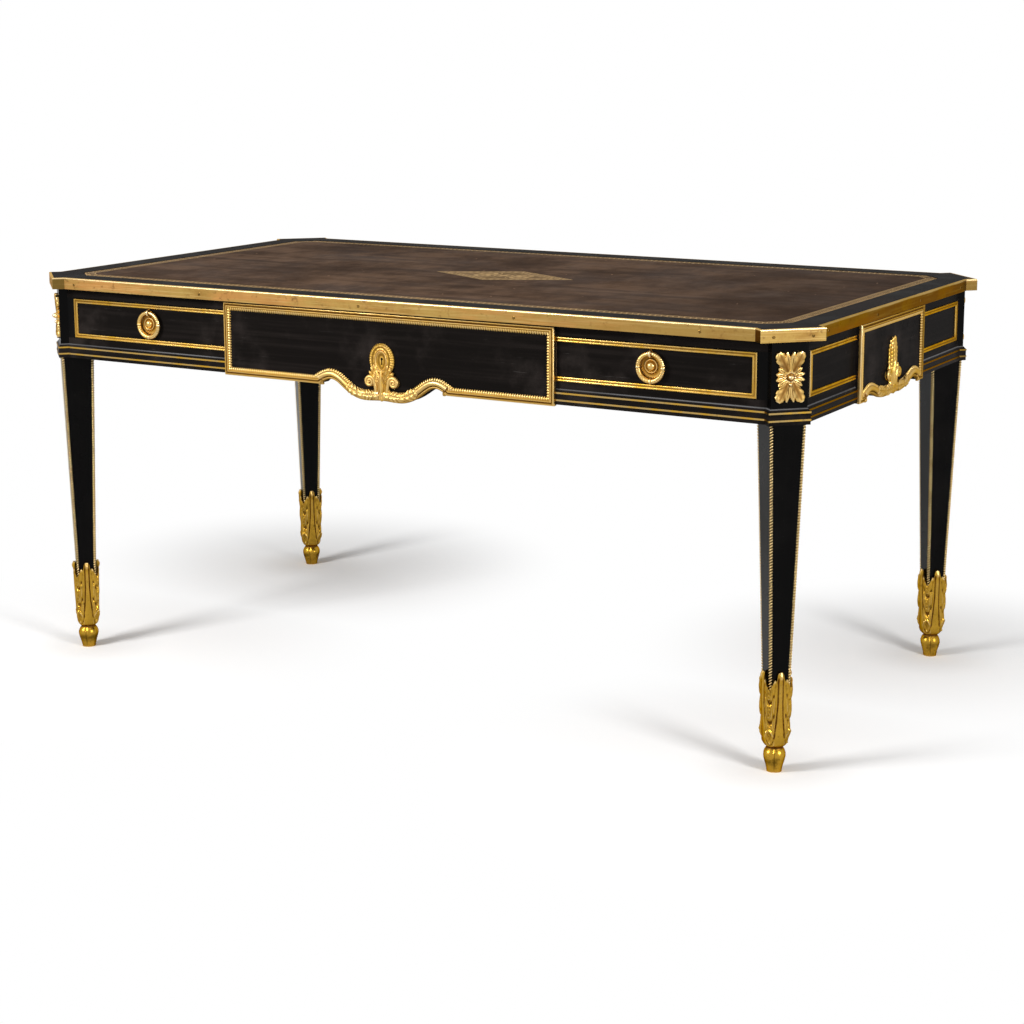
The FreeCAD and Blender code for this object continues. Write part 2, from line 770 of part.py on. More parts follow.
centre_half = divider_inner - drawer_play
centre_sides, centre_back, centre_bottom = drawer_box(-centre_half, centre_half)
centre_body, centre_apron, centre_frame = raised_block(front_block_half, front_lobe_drop, drawer_gap)
keyhole_z = block_top - escutcheon_above - keyhole_drop
keyhole = Part.makeCylinder(keyhole_width / 2, 2 * front_plane, V(0, 0, keyhole_z), V(0, 1, 0))
keyhole.translate(V(0, -2 * front_plane, 0))
slot_end = front_back + lock_thickness
slot = box(-keyhole_width / 4, keyhole_width / 4, -2 * front_plane, slot_end,
           keyhole_z - keyhole_slot, keyhole_z)
keyway = keyhole.common(box(-far, far, -far, slot_end, 0, desk_height)).fuse(slot)

centre_front = box(-centre_half, centre_half, -front_plane, front_back, panel_bottom, panel_top)
save("centre_drawer_front", centre_front.cut(centre_bottom).cut(keyway))
save("centre_drawer_block", on_side(centre_body, "front").cut(keyway))
save("centre_drawer_apron", on_side(centre_apron, "front"))
save("centre_drawer_frame", on_side(centre_frame, "front"))
save("centre_drawer_sides", group(centre_sides + [centre_back]))
save("centre_drawer_bottom", centre_bottom)
escutcheon = keyhole_mount(front_lobe_drop, centre_frame)
save("escutcheon", on_side(escutcheon, "front").cut(keyway))

# Lock behind the centre drawer front, its bolt drawn down
case_top = panel_top - bolt_play
case_back = front_back + lock_thickness
bolt = box(-bolt_width / 2, bolt_width / 2, bolt_y, bolt_y + bolt_thickness, case_top - bolt_length, case_top)
bolt_way = box(-bolt_width / 2 - bolt_play, bolt_width / 2 + bolt_play, bolt_y - bolt_play,
               bolt_y + bolt_thickness + bolt_play, case_top - bolt_length, case_top)
case = box(-lock_width / 2, lock_width / 2, front_back, case_back, case_top - lock_height, case_top)
save("lock_case", case.cut(bolt_way).cut(keyway))
save("lock_bolt", bolt)


# Outer drawers with their ring pulls
def ring_pull(centre_x):
    """Rosette with an eye above it, and the ring that hangs in the eye."""
    centre_z = panel_bottom + pull_height - drawer_gap
    rim_inner = rosette_rim_radius - rosette_thickness / 2
    dish = rosette_thickness / 2
    profile = ((0, 0), (rosette_radius, 0), (rosette_radius - rosette_thickness, rosette_thickness),
               (rosette_rim_radius + rosette_thickness, dish), (rosette_rim_radius, rosette_rim_height),
               (rim_inner, rosette_rim_height), (rim_inner, dish), (knob_radius, dish),
               (knob_radius * 0.7, knob_height), (0, knob_height + knob_radius / 4))
    rosette_z = centre_z + rosette_lift
    corners = [V(centre_x + radius, -front_plane - out, rosette_z) for radius, out in profile]
    turned = Part.Face(Part.makePolygon(corners + corners[:1]))
    rosette = turned.revolve(V(centre_x, 0, rosette_z), V(0, 1, 0), 360)
    pivot_y = -front_plane - ring_stand_off
    pivot_z = centre_z + ring_radius
    eye_radius = ring_bar / 2 + ring_play + eye_wall
    half = eye_width / 2
    eye = Part.makeCylinder(eye_radius, eye_width, V(centre_x - half, pivot_y, pivot_z), V(1, 0, 0))
    stem = box(centre_x - half, centre_x + half, pivot_y, -front_plane, centre_z + rosette_rim_radius,
               pivot_z + eye_radius / 2)
    stem = stem.cut(box(centre_x - half, centre_x + half, pivot_y, -front_plane - rosette_thickness,
                        centre_z, pivot_z - eye_radius / 2))
    hole = Part.makeCylinder(eye_radius - eye_wall, eye_width, V(centre_x - half, pivot_y, pivot_z),
                             V(1, 0, 0))
    fixed = rosette.fuse([stem, eye]).cut(hole)
    fixed = fixed.common(box(-far, far, -far, -front_plane, 0, desk_height)).removeSplitter()
    bar_points = []
    for step in range(ring_bar_sides):
        turn = 2 * math.pi * step / ring_bar_sides
        bar_points.append(V(centre_x + ring_radius + ring_bar / 2 * math.cos(turn),
                            pivot_y + ring_bar / 2 * math.sin(turn), centre_z))
    bar = Part.Face(Part.makePolygon(bar_points + bar_points[:1]))
    ring = bar.revolve(V(centre_x, 0, centre_z), V(0, 1, 0), 360)
    return fixed, ring


outer_start = front_block_half + drawer_gap
outer_end = stile_inner - drawer_gap
outer_front = box(outer_start, outer_end, -front_plane, front_back, panel_bottom, panel_top)
room_width = post_width + 2 * drawer_gap
post_room = square_tower(((frieze_bottom, room_width), (top_underside, room_width)))
outer_front = outer_front.cut(at_corner(post_room, CORNERS[0]))
outer_sides, outer_back, outer_bottom = drawer_box(front_block_half + drawer_play, outer_drawer_end)
outer_frame = [on_side(bar, "front") for bar in reeded_frame(outer_start, outer_end)]
pull, ring = ring_pull((outer_start + outer_end) / 2 - panel_frame_width / 2)
outer_pieces = {"drawer_front": [outer_front.cut(outer_bottom)], "drawer_frame": outer_frame,
                "drawer_sides": outer_sides + [outer_back], "drawer_bottom": [outer_bottom],
                "pull_rosette": [pull], "pull_ring": [ring]}
for name, pieces in outer_pieces.items():
    save("right_" + name, group(pieces))
    save("left_" + name, group([mirrored(piece) for piece in pieces]))
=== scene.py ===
"""Dresses a packed writing desk: ebonised wood, tooled leather, brass edges and gilt bronze mounts."""

import math

import bpy
import numpy as np
from bpy.props import FloatProperty, FloatVectorProperty, PointerProperty
from mathutils import Matrix, Vector


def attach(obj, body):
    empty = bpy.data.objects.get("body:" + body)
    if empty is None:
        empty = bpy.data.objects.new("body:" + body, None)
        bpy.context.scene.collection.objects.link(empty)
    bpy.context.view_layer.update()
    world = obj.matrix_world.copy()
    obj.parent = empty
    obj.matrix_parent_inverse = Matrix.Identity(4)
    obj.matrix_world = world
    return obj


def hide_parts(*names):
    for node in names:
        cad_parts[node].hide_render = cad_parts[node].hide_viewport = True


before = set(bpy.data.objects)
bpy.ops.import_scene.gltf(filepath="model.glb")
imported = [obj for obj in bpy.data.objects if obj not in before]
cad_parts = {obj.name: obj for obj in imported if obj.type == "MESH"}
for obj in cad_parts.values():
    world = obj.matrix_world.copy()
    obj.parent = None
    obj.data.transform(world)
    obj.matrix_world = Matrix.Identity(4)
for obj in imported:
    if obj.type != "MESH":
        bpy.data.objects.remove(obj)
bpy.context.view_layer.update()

bl_info = {
    "name": "Writing desk finish",
    "version": (1, 0, 0),
    "blender": (4, 5, 0),
    "location": "View3D > Sidebar > Desk",
    "description": "Finishes and ornaments for a flat-topped writing desk",
    "category": "Object",
}

# Places and sizes on the desk in millimetres, from the floor under its middle

MM = 0.001
LEGS = (("front_left", -1, -1), ("front_right", 1, -1), ("back_left", -1, 1), ("back_right", 1, 1))
LEG_X, LEG_Y = 766, 395
SABOT_TOP, LEG_TOP = 177, 608
LEG_NARROW, LEG_WIDE = 38, 62
WAYS = {"front": (0, -1), "back": (0, 1), "left": (-1, 0), "right": (1, 0)}
FRIEZE_X, FRIEZE_Y, BLOCK_PROUD = 803.5, 429, 7
WIDE_BLOCK, NARROW_BLOCK = 357.5, 160
WIDE_FOOT, NARROW_FOOT = 585.7, 602.7
REED_LOW, REED_HIGH = 648.8, 727.2
LEAF_TIP = 703.7
PULL_X = 542.8


# Sizes and colours that a user may change

def tint(name, text, colour):
    return FloatVectorProperty(name=name, description=text, subtype="COLOR", size=3, min=0, max=1,
                               default=colour)


def length(name, text, value):
    return FloatProperty(name=name, description=text, subtype="DISTANCE", unit="LENGTH", min=0,
                         default=value)


def power(name, text, value):
    return FloatProperty(name=name, description=text, subtype="POWER", unit="POWER", min=0, default=value)


class DeskFinish(bpy.types.PropertyGroup):
    """Colours of the desk's finishes."""
    ebony: tint("Ebonised wood", "Black polish on the wood", (0.0062, 0.0052, 0.0047))
    ebony_worn: tint("Worn polish", "Brown that shows through the black", (0.013, 0.0105, 0.0095))
    gilding: tint("Gilding", "Gold of the mounts", (0.60, 0.385, 0.11))
    gilding_pale: tint("Matt gold", "Gold of the frames, mounts and pulls", (0.59, 0.405, 0.155))
    # Rubbed gold and painted highlight for the ridges of the mounts
    gilding_bright: tint("Rubbed gold", "Gold of the ridges of the mounts", (0.76, 0.61, 0.38))
    gilding_deep: tint("Deep gold", "Gold of the sabots and of shaded gilding", (0.45, 0.258, 0.028))
    # Tarnish and painted shade for the hollows of the mounts
    tarnish_and_shade: tint("Tarnish", "Brown that gathers in the hollows of the mounts", (0.13, 0.058, 0.011))
    hollow_gold: tint("Shaded gold", "Gold in the shallow hollows of frames and pulls", (0.23, 0.125, 0.02))
    brass: tint("Brass", "Clean brass of the edge", (0.43, 0.28, 0.078))
    patina: tint("Patina", "Dull brass of the edge", (0.25, 0.142, 0.036))
    leather: tint("Leather", "Writing leather", (0.050, 0.0275, 0.0165))
    leather_worn: tint("Worn leather", "Rubbed streaks on the leather", (0.128, 0.074, 0.044))
    tooling: tint("Tooling", "Gold leaf pressed into the leather", (0.50, 0.33, 0.15))
    oak: tint("Oak", "Plain wood of the drawers", (0.36, 0.22, 0.11))
    steel: tint("Steel", "Steel of the lock", (0.30, 0.29, 0.28))


class DeskOrnament(bpy.types.PropertyGroup):
    """Sizes of the ornament."""
    rope_pitch: length("Rope pitch", "Distance from strand to strand of the leg ropes", 0.0050)
    rope_width: length("Rope width", "Width of the leg ropes", 0.007)


class DeskStage(bpy.types.PropertyGroup):
    """Floor and studio light."""
    floor: tint("Floor", "Pale studio floor", (0.97, 0.97, 0.97))
    sky_level: FloatProperty(name="Sky level", description="Even light from all round", min=0, default=0.26)
    left_power: power("Left light", "Front left soft box", 92)
    right_power: power("Right light", "Right soft box", 105)
    top_power: power("Top light", "Overhead soft box", 22)
    lens: FloatProperty(name="Lens", description="Focal length of the camera", subtype="DISTANCE_CAMERA",
                        min=1, default=75.249)


# Helpers for selection and meshes

def clear_selection():
    if bpy.context.mode != "OBJECT":
        bpy.ops.object.mode_set(mode="OBJECT")
    bpy.ops.object.select_all(action="DESELECT")


def pick(*pieces):
    clear_selection()
    for piece in pieces:
        piece.select_set(True)
    bpy.context.view_layer.objects.active = pieces[0]
    return pieces[0]


def points(piece):
    where = np.empty(len(piece.data.vertices) * 3)
    piece.data.vertices.foreach_get("co", where)
    return where.reshape(-1, 3)


def move_points(piece, where):
    piece.data.vertices.foreach_set("co", np.asarray(where, dtype=float).ravel())
    piece.data.update()


def open_mesh(piece):
    """Edit mode with everything selected."""
    pick(piece)
    bpy.ops.object.mode_set(mode="EDIT")
    bpy.ops.mesh.select_all(action="SELECT")


def worked_grid(name, across, along, shape):
    """A grid worked to a form in millimetres: shape takes a, -1 to 1 across, and b, 0 to 1 along."""
    clear_selection()
    bpy.ops.mesh.primitive_grid_add(x_subdivisions=across, y_subdivisions=along, size=2)
    piece = bpy.context.active_object
    piece.name = name
    spot = points(piece)
    move_points(piece, np.stack(shape(spot[:, 0], (spot[:, 1] + 1) / 2), axis=1) * MM)
    return piece


def closed_up(piece):
    """Merges the seams of a wrapped grid, fills its open ends and turns its faces outward."""
    open_mesh(piece)
    bpy.ops.mesh.remove_doubles(threshold=2e-6)
    bpy.ops.mesh.fill_holes(sides=0)
    bpy.ops.mesh.select_all(action="SELECT")
    bpy.ops.mesh.normals_make_consistent(inside=False)
    bpy.ops.object.mode_set(mode="OBJECT")
    return piece


def flat_back(piece, level=-0.3):
    """Closes a relief with a flat back at that level in millimetres."""
    open_mesh(piece)
    bpy.ops.mesh.remove_doubles(threshold=2e-6)
    bpy.ops.mesh.extrude_region_move()
    bpy.ops.transform.resize(value=(1, 1, 0), center_override=(0, 0, level * MM))
    bpy.ops.mesh.select_all(action="SELECT")
    bpy.ops.mesh.normals_make_consistent(inside=False)
    bpy.ops.object.mode_set(mode="OBJECT")
    return piece


def joined(name, pieces):
    pick(*pieces)
    bpy.ops.object.join()
    whole = bpy.context.active_object
    whole.name = name
    return whole


def moved(piece, place):
    """Puts a place into a piece's mesh."""
    piece.data.transform(place)
    if place.determinant() < 0:
        piece.data.flip_normals()
    return piece


def copied(piece, name, place):
    pick(piece)
    bpy.ops.object.duplicate(linked=False)
    copy = bpy.context.active_object
    copy.name = name
    return moved(copy, place)


def put_away(*forms):
    """Takes out forms that have been copied."""
    for form in forms:
        bpy.data.objects.remove(form)


def laid(x, y, turn=0.0, z=0.0):
    """Place of an ornament in its own drawing plane: millimetres, and degrees turned left."""
    return Matrix.Translation((x * MM, y * MM, z * MM)) @ Matrix.Rotation(math.radians(turn), 4, "Z")


def standing(spot, facing):
    """Stands an ornament, drawn in X and Y, on an upright face: facing is the way that the face looks."""
    out = Vector(facing).normalized()
    up = Vector((0, 0, 1))
    place = Matrix((up.cross(out), up, out)).transposed().to_4x4()
    place.translation = Vector(spot) * MM
    return place


def on_face(side, proud=0, x=0, z=0):
    """Place on a side of the frieze, or proud of it, x from its middle and z over the floor."""
    way_x, way_y = WAYS[side]
    spot = (way_x * (FRIEZE_X + proud), way_y * (FRIEZE_Y + proud), 0)
    return standing(spot, (way_x, way_y, 0)) @ laid(x, z)


def at_leg(sx, sy):
    """Place of the foot of a leg's middle line."""
    return Matrix.Translation((sx * LEG_X * MM, sy * LEG_Y * MM, 0))


def leg_width(height):
    return LEG_NARROW + (height - SABOT_TOP) * (LEG_WIDE - LEG_NARROW) / (LEG_TOP - SABOT_TOP)


def mark_hollows(piece, known, ground):
    """Marks the hollows of a relief low and its ridges high, with half of it on each side of the middle,
    fine ones and broad ones alike; gilt finishes paint shade into the low marks and highlights onto the
    high.
    Known gives marks that needn't be found. Ground is the place of the face that it stands on: what lies
    close to that is low too, as painted shade, and what stands far out is high, as painted highlight."""
    pick(piece)
    bpy.ops.geometry.color_attribute_add(name="hollows", domain="POINT", data_type="FLOAT_COLOR",
                                         color=(1, 1, 1, 1))
    marks = piece.data.color_attributes["hollows"].data
    level = np.empty(len(marks) * 4)
    found = []
    for blur in () if known is not None else (1, 7):
        level[:] = 1
        marks.foreach_set("color", level)
        bpy.ops.paint.vertex_color_dirt(blur_strength=1.0, blur_iterations=blur, dirt_angle=0.0,
                                        clean_angle=math.radians(180), dirt_only=False, normalize=True)
        marks.foreach_get("color", level)
        low, middle, high = np.percentile(level[::4], (2, 50, 98))
        found.append(np.interp(level[::4], [low, middle, high], [0, 0.5, 1]))
    if known is None:
        known = np.mean(found, axis=0)
    if ground is not None:
        back = np.array(ground.inverted())
        proud = (points(piece) @ back[2, :3] + back[2, 3]) / MM
        # marks for painted shade close to the face and painted highlight far out from it
        known = known * np.interp(proud, [0.6, 2.8], [0.35, 1]) + np.interp(proud, [4.5, 8.5], [0, 0.24])
    level = np.ones((len(marks), 4))
    level[:, :3] = np.asarray(known)[:, None]
    marks.foreach_set("color", level.ravel())


def finished(piece, body, finish, nodes=(), angle=40, hollows=None, ground=None):
    """Smooths a piece, marks its hollows, gives it its finish and lets it ride on its body."""
    pick(piece)
    bpy.ops.object.shade_smooth_by_angle(angle=math.radians(angle))
    mark_hollows(piece, hollows, ground)
    piece.data.materials.clear()
    piece.data.materials.append(finish)
    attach(piece, body)
    if nodes:
        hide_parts(*nodes)
    return piece


# Drawn lines in millimetres

def run_along(line):
    """Length of a line from its start to each of its points."""
    return np.concatenate(([0], np.cumsum(np.linalg.norm(np.diff(line, axis=0), axis=1))))


def smooth_line(knots, steps):
    """Natural cubic curve through the knots, with that many steps from each to the next."""
    knots = np.asarray(knots, dtype=float)
    gap = np.diff(run_along(knots))
    count = len(knots)
    system = np.eye(count)
    pull = np.zeros_like(knots)
    for i in range(1, count - 1):
        system[i, i - 1:i + 2] = gap[i - 1], 2 * (gap[i - 1] + gap[i]), gap[i]
        pull[i] = 6 * ((knots[i + 1] - knots[i]) / gap[i] - (knots[i] - knots[i - 1]) / gap[i - 1])
    bend = np.linalg.solve(system, pull)
    line = []
    for i in range(count - 1):
        for t in np.linspace(0, gap[i], steps, endpoint=False):
            left = gap[i] - t
            line.append(bend[i] * left ** 3 / (6 * gap[i]) + bend[i + 1] * t ** 3 / (6 * gap[i])
                        + (knots[i] / gap[i] - bend[i] * gap[i] / 6) * left
                        + (knots[i + 1] / gap[i] - bend[i + 1] * gap[i] / 6) * t)
    return np.array(line + [knots[-1]])


def sideways(line, closed):
    """Mitred left-hand normals of a flat line."""
    line = np.asarray(line, dtype=float)
    ahead = np.roll(line, -1, axis=0) - line
    if not closed:
        ahead[-1] = ahead[-2]
    ahead /= np.linalg.norm(ahead, axis=1)[:, None]
    before = np.roll(ahead, 1, axis=0)
    if not closed:
        before[0] = ahead[0]
    one = np.stack((-before[:, 1], before[:, 0]), axis=1)
    two = np.stack((-ahead[:, 1], ahead[:, 0]), axis=1)
    return (one + two) / (1 + np.sum(one * two, axis=1))[:, None]


def moulding(name, line, profile, closed=True):
    """A moulding along a flat line. The profile gives distance to the left of the line and height."""
    line = np.asarray(line, dtype=float)
    side = sideways(line, closed)
    if closed:
        line, side = np.vstack((line, line[:1])), np.vstack((side, side[:1]))
    profile = np.asarray(list(profile) + [profile[0]], dtype=float)

    def shape(a, b):
        i = np.rint(b * (len(line) - 1)).astype(int)
        k = np.rint((a + 1) / 2 * (len(profile) - 1)).astype(int)
        flat = line[i] + side[i] * profile[k, :1]
        return flat[:, 0], flat[:, 1], profile[k, 1]

    return closed_up(worked_grid(name, len(profile) - 1, len(line) - 1, shape))


def rod(name, line, widths, heights, around=10, lift=0.0):
    """A tapering rod along a flat line: half its width and half its height at each point."""
    line = np.asarray(line, dtype=float)
    side = sideways(line, False)
    widths = np.broadcast_to(widths, len(line))
    heights = np.broadcast_to(heights, len(line))
    lift = np.broadcast_to(lift, len(line))

    def shape(a, b):
        i = np.rint(b * (len(line) - 1)).astype(int)
        turn = np.pi * a
        flat = line[i] + side[i] * (widths[i] * np.cos(turn))[:, None]
        return flat[:, 0], flat[:, 1], lift[i] + heights[i] * np.sin(turn)

    return closed_up(worked_grid(name, around, len(line) - 1, shape))


def leaf(name, long, wide, lobes, high, groove=0.45, lean=0.5, curl=0.0, root=0.4, full=0.84, blunt=0.10,
         swell=2.6, notch=0.6, veins=0.24, line=None, across=14, fine=8):
    """An acanthus leaf in relief, its root at the origin and its tip along Y, or all along a drawn line."""
    def shape(a, b):
        edge = np.abs(a)
        body = np.interp(b, [0, 0.12, 0.38, 0.68, 0.88, 1.0],
                         [root, 0.66, 1.0, full, full * 0.6 + blunt * 0.4, blunt])
        beat = b * lobes % 1.0
        lobe = 1 - (1 - notch) * np.interp(beat, [0, 0.12, 0.40, 0.75, 0.92, 1], [1, 0.65, 0.08, 0, 0.35, 1])
        lobe = np.where(b > 1 - 0.25 / lobes, 0.9, lobe)
        x = a * wide / 2 * body * (1 - edge + edge * lobe)
        y = long * (b + lean / lobes * edge ** 1.5 * (1 - b) * np.minimum(1, 4 * b))
        vein = np.cos(2 * np.pi * (b * lobes - 0.55))
        round_off = 1 - edge ** swell
        z = high * (0.30 + 0.55 * round_off * np.sqrt(body) + veins * vein * edge * (1.15 - edge))
        z = z - high * groove * np.exp(-(a / 0.13) ** 2) * np.minimum(1, 3 * (1 - b))
        z = z + curl * b ** 3
        if line is None:
            return x, y, z
        run = run_along(line)
        at = np.clip(y / long, 0, 1) * run[-1]
        side = sideways(line, False)
        spot = [np.interp(at, run, line[:, k]) - x * np.interp(at, run, side[:, k]) for k in (0, 1)]
        return spot[0], spot[1], z

    return flat_back(worked_grid(name, across, lobes * fine, shape))


# Kinds of leaf: without lobes and veins, and broad with shallow lobes
PLAIN = {"lean": 0.0, "notch": 1.0, "veins": 0.0}
BROAD = {"groove": 0.2, "root": 0.6, "full": 1.0, "notch": 0.75, "across": 10}


def swept(name, knots, wide, lobes, high, lift, **form):
    """A narrow leaf along a bend through the knots, raised by lift."""
    blade = leaf(name, 1, wide, lobes, high, line=smooth_line(knots, 6), blunt=0.3, swell=1.7, **form)
    return moved(blade, laid(0, 0, 0, lift))


def dome(name, x, y, radius, high, tall=None, around=20, rings=7):
    """A rounded boss, circular or oval."""
    tall = tall or radius

    def shape(a, b):
        turn = np.pi * a
        reach = np.sin(b * np.pi / 2)
        up = high * np.cos(b * np.pi / 2)
        return x + radius * reach * np.cos(turn), y + tall * reach * np.sin(turn), up

    return flat_back(worked_grid(name, around, rings, shape))


def strewn(name, unit, places):
    """Copies of a small unit, one at each place, as one piece. The unit is used up."""
    shape = points(unit)
    faces = [tuple(face.vertices) for face in unit.data.polygons]
    spots, sides = [], []
    for place in places:
        turn = np.array(place)
        sides += [tuple(v + len(spots) * len(shape) for v in face) for face in faces]
        spots.append(shape @ turn[:3, :3].T + turn[:3, 3])
    mesh = bpy.data.meshes.new(name)
    mesh.from_pydata(np.concatenate(spots).tolist(), [], sides)
    bpy.data.objects.remove(unit)
    piece = bpy.data.objects.new(name, mesh)
    bpy.context.scene.collection.objects.link(piece)
    return piece


# Forms of the mounts

def corner_spray():
    """Four broad leaves round a boss, with leaflets above and below and short leaves at the sides."""
    parts = [dome("spray_ground", 0, 0, 17.5, 3.6, 16.0)]
    broad = leaf("spray_leaf", 39.5, 21, 3, 6.2, groove=0.03, lean=0.7, curl=1.8, root=0.62, full=0.98,
                 blunt=0.42, swell=4.0, notch=0.80, veins=0.07, fine=9)
    short = leaf("spray_flank", 17.5, 10.5, 1, 5.6, groove=0.12, curl=1.0, root=0.6, full=0.9, blunt=0.25,
                 swell=3.0, across=10, fine=14, **PLAIN)
    tuft = leaf("spray_tuft", 34.5, 11.5, 1, 6.8, groove=0.10, curl=1.2, full=1.1, blunt=0.30, across=10,
                fine=16, **PLAIN)
    for turn in (54, 78, 102, 126):
        for side in (-1, 1):
            parts.append(copied(short, "spray", laid(0, 0, side * turn, -0.8) @ laid(0, 8.0)))
    for turn in (27, -27, 153, -153):
        parts.append(copied(broad, "spray", laid(0, 0, turn, 0.2) @ laid(0, 7.0)))
    for turn in (8.5, -8.5, 171.5, -171.5):
        parts.append(copied(tuft, "spray", laid(0, 0, turn, -1.2) @ laid(0, 7.5)))
    for side in (-1, 1):
        parts.append(dome("side_bead", side * 12.4, 0, 2.7, 8.0, around=12, rings=5))
    parts.append(dome("spray_tongue", 0, -12.6, 3.6, 8.4, 4.4, around=14, rings=5))
    parts.append(dome("spray_boss", 0, 0, 6.2, 12.6))
    for x in (-16.5, 16.5):
        parts.append(dome("spray_pin", x, -36, 1.5, 6.0, around=10, rings=3))
    put_away(broad, short, tuft)
    return joined("corner_spray", parts)


def sabot_form():
    """Leaf cup on a lobed foot: a plain stem up the middle of each face and a leaf clasping each corner."""
    heights = [0, 4, 12, 22, 28, 32, 36, 39, 41, 43, 45, 48, 54, 62, 78, 100, 130, 152, 177]
    widths = [13.4, 14.0, 16.2, 19.2, 20.6, 20.5, 19.4, 17.8, 16.2, 14.4, 14.4, 16.6, 19.2, 20.6, 21.2, 22.2,
              23.4, 23.8, 22.8]
    turn_in = 0.94
    leafy = 120

    def ease(x, low, high):
        t = np.clip((x - low) / (high - low), 0, 1)
        return t * t * (3 - 2 * t)

    def lump(across, z, middle, height, wide, tall):
        return np.exp(-((across - middle) / wide) ** 2 - ((z - height) / tall) ** 2)

    def shape(a, b):
        turn = np.pi * a
        sway = (turn + np.pi / 4) % (np.pi / 2) - np.pi / 4
        edge = np.abs(np.tan(sway))
        lip = np.interp(edge, [0, 0.15, 0.23, 0.28, 0.33, 0.44, 0.55, 0.68, 0.85, 1],
                        [181.5, 180.5, 176.5, 168, 165, 169, 164.5, 158, 153, 151])
        rise = np.minimum(b / turn_in, 1) * SABOT_TOP
        z = np.where(rise < leafy, rise, leafy + (rise - leafy) * (lip - leafy) / (SABOT_TOP - leafy))
        inner = ease(b, turn_in, 1.0)
        half = np.interp(z, heights, widths)
        cup = ease(z, 43, 51)
        power = 2 + 0.9 * cup
        squared = (np.abs(np.cos(turn)) ** power + np.abs(np.sin(turn)) ** power) ** (-1 / power)
        across = edge * half
        rib = np.interp(z, [46, 60, 98, 130, 165], [10.0, 8.6, 4.6, 3.1, 3.1])
        relief = 2.0 * np.exp(-(across / rib) ** 4) - 1.1 * np.exp(-((across - rib - 1.6) / 1.1) ** 2)
        off = (1 - edge) * half
        spread = ease(off, 15.5, 10.5)
        for base, tall in ((50, 44), (90, 40), (126, 42)):
            t = np.clip((z - base - 0.22 * off ** 1.75) / tall, 0, 1)
            relief += 2.6 * spread * np.sin(np.pi * t ** 0.62)
            relief += 0.5 * spread * np.cos(2 * np.pi * (off - 0.10 * (z - base)) / 4.4) * np.sin(np.pi * t)
            relief -= 2.6 * lump(off, z, 2.2, base + 2, 4.0, 5.0) * (base > 60)
            relief -= 1.9 * lump(off, z, 10.2, base + 14, 2.2, 5.0) * (base > 60)
        loop = np.sqrt((off / 11.2) ** 2 + ((z - 62) / 17.0) ** 2)
        relief += 1.7 * np.exp(-((loop - 0.92) / 0.15) ** 2) - 2.2 * np.exp(-(loop / 0.52) ** 2)
        relief += 1.9 * lump(off, z, 0, 54.5, 2.6, 3.2)
        relief += 0.5 * np.cos(2 * np.pi * z / 6.4) * np.exp(-(off / 1.6) ** 2) * ease(z, 78, 84)
        relief += 3.4 * lump(across, z, 0, 173, 4.8, 6.4) + 1.8 * lump(across, z, 9.6, 164, 3.0, 4.2)
        relief *= cup
        gadroon = np.abs(np.cos(2 * turn - np.pi / 4)) ** 0.5
        foot = ease(z, 2, 12) * ease(z, 44, 38)
        flute = 2.8 * (1 - gadroon) * (0.35 + 0.65 * foot) * (1 - cup)
        reach = half * squared + relief / np.maximum(np.cos(sway), 0.8) - flute
        leg = leg_width(z) / 2 - 1.2
        square = 1 / np.maximum(np.abs(np.cos(turn)), np.abs(np.sin(turn)))
        reach = reach * (1 - inner) + leg * square * inner
        z = z + 1.2 * np.sin(np.pi * inner) - 4.0 * inner
        return reach * np.cos(turn), reach * np.sin(turn), z

    return closed_up(worked_grid("sabot", 192, 150, shape))


def block_line(half, lobe):
    """Outer line of a raised block, anticlockwise from its left ear, and how many points its foot has."""
    foot, top, arch, ear = 605.7, 744.2, 617.0, 140.0
    right = [(48, lobe - 1.4), (83, (arch + lobe) / 2 - 0.8), (112, arch - 0.4), (ear, foot)]
    curve = smooth_line([(-x, z) for x, z in right[::-1]] + [(0, lobe - 0.8)] + right, 9)
    corners = np.array([(half, foot), (half, top), (-half, top), (-half, foot)])
    return np.vstack((curve, corners)), len(curve)


def walked(line, pitch, inset, lift=0.0):
    """Evenly spaced places along an open line moved left by inset, each turned along the line."""
    inner = line + sideways(line, False) * inset
    places, carry = [], pitch / 2
    for start, end in zip(inner, inner[1:]):
        step = end - start
        size = np.linalg.norm(step)
        turn = math.degrees(math.atan2(step[1], step[0]))
        while carry < size:
            spot = start + step / size * carry
            places.append(laid(spot[0], spot[1], turn, lift))
            carry += pitch
        carry -= size
    return places


FRAME_PROFILE = [(-0.5, -2.2), (-0.5, 0.0), (-0.4, 1.6), (0.0, 2.8), (0.7, 3.6), (1.8, 4.0), (3.2, 3.6),
                 (3.9, 1.9), (4.4, 1.4), (4.9, 1.9), (5.4, 3.2), (6.2, 4.3), (7.6, 4.5), (9.0, 3.8),
                 (10.4, 2.8), (11.8, 2.4), (13.0, 1.0), (13.1, -0.3), (6.0, -0.3), (0.6, -0.3), (0.2, -2.2)]
REED_PROFILE = [(0, -0.3), (0, 1.4), (0.5, 2.4), (1.5, 3.0), (2.6, 2.9), (3.5, 2.4), (4.1, 1.7), (4.5, 1.5),
                (4.9, 1.7), (5.5, 2.4), (6.4, 2.9), (7.5, 3.0), (8.5, 2.4), (9, 1.4), (9, -0.3)]


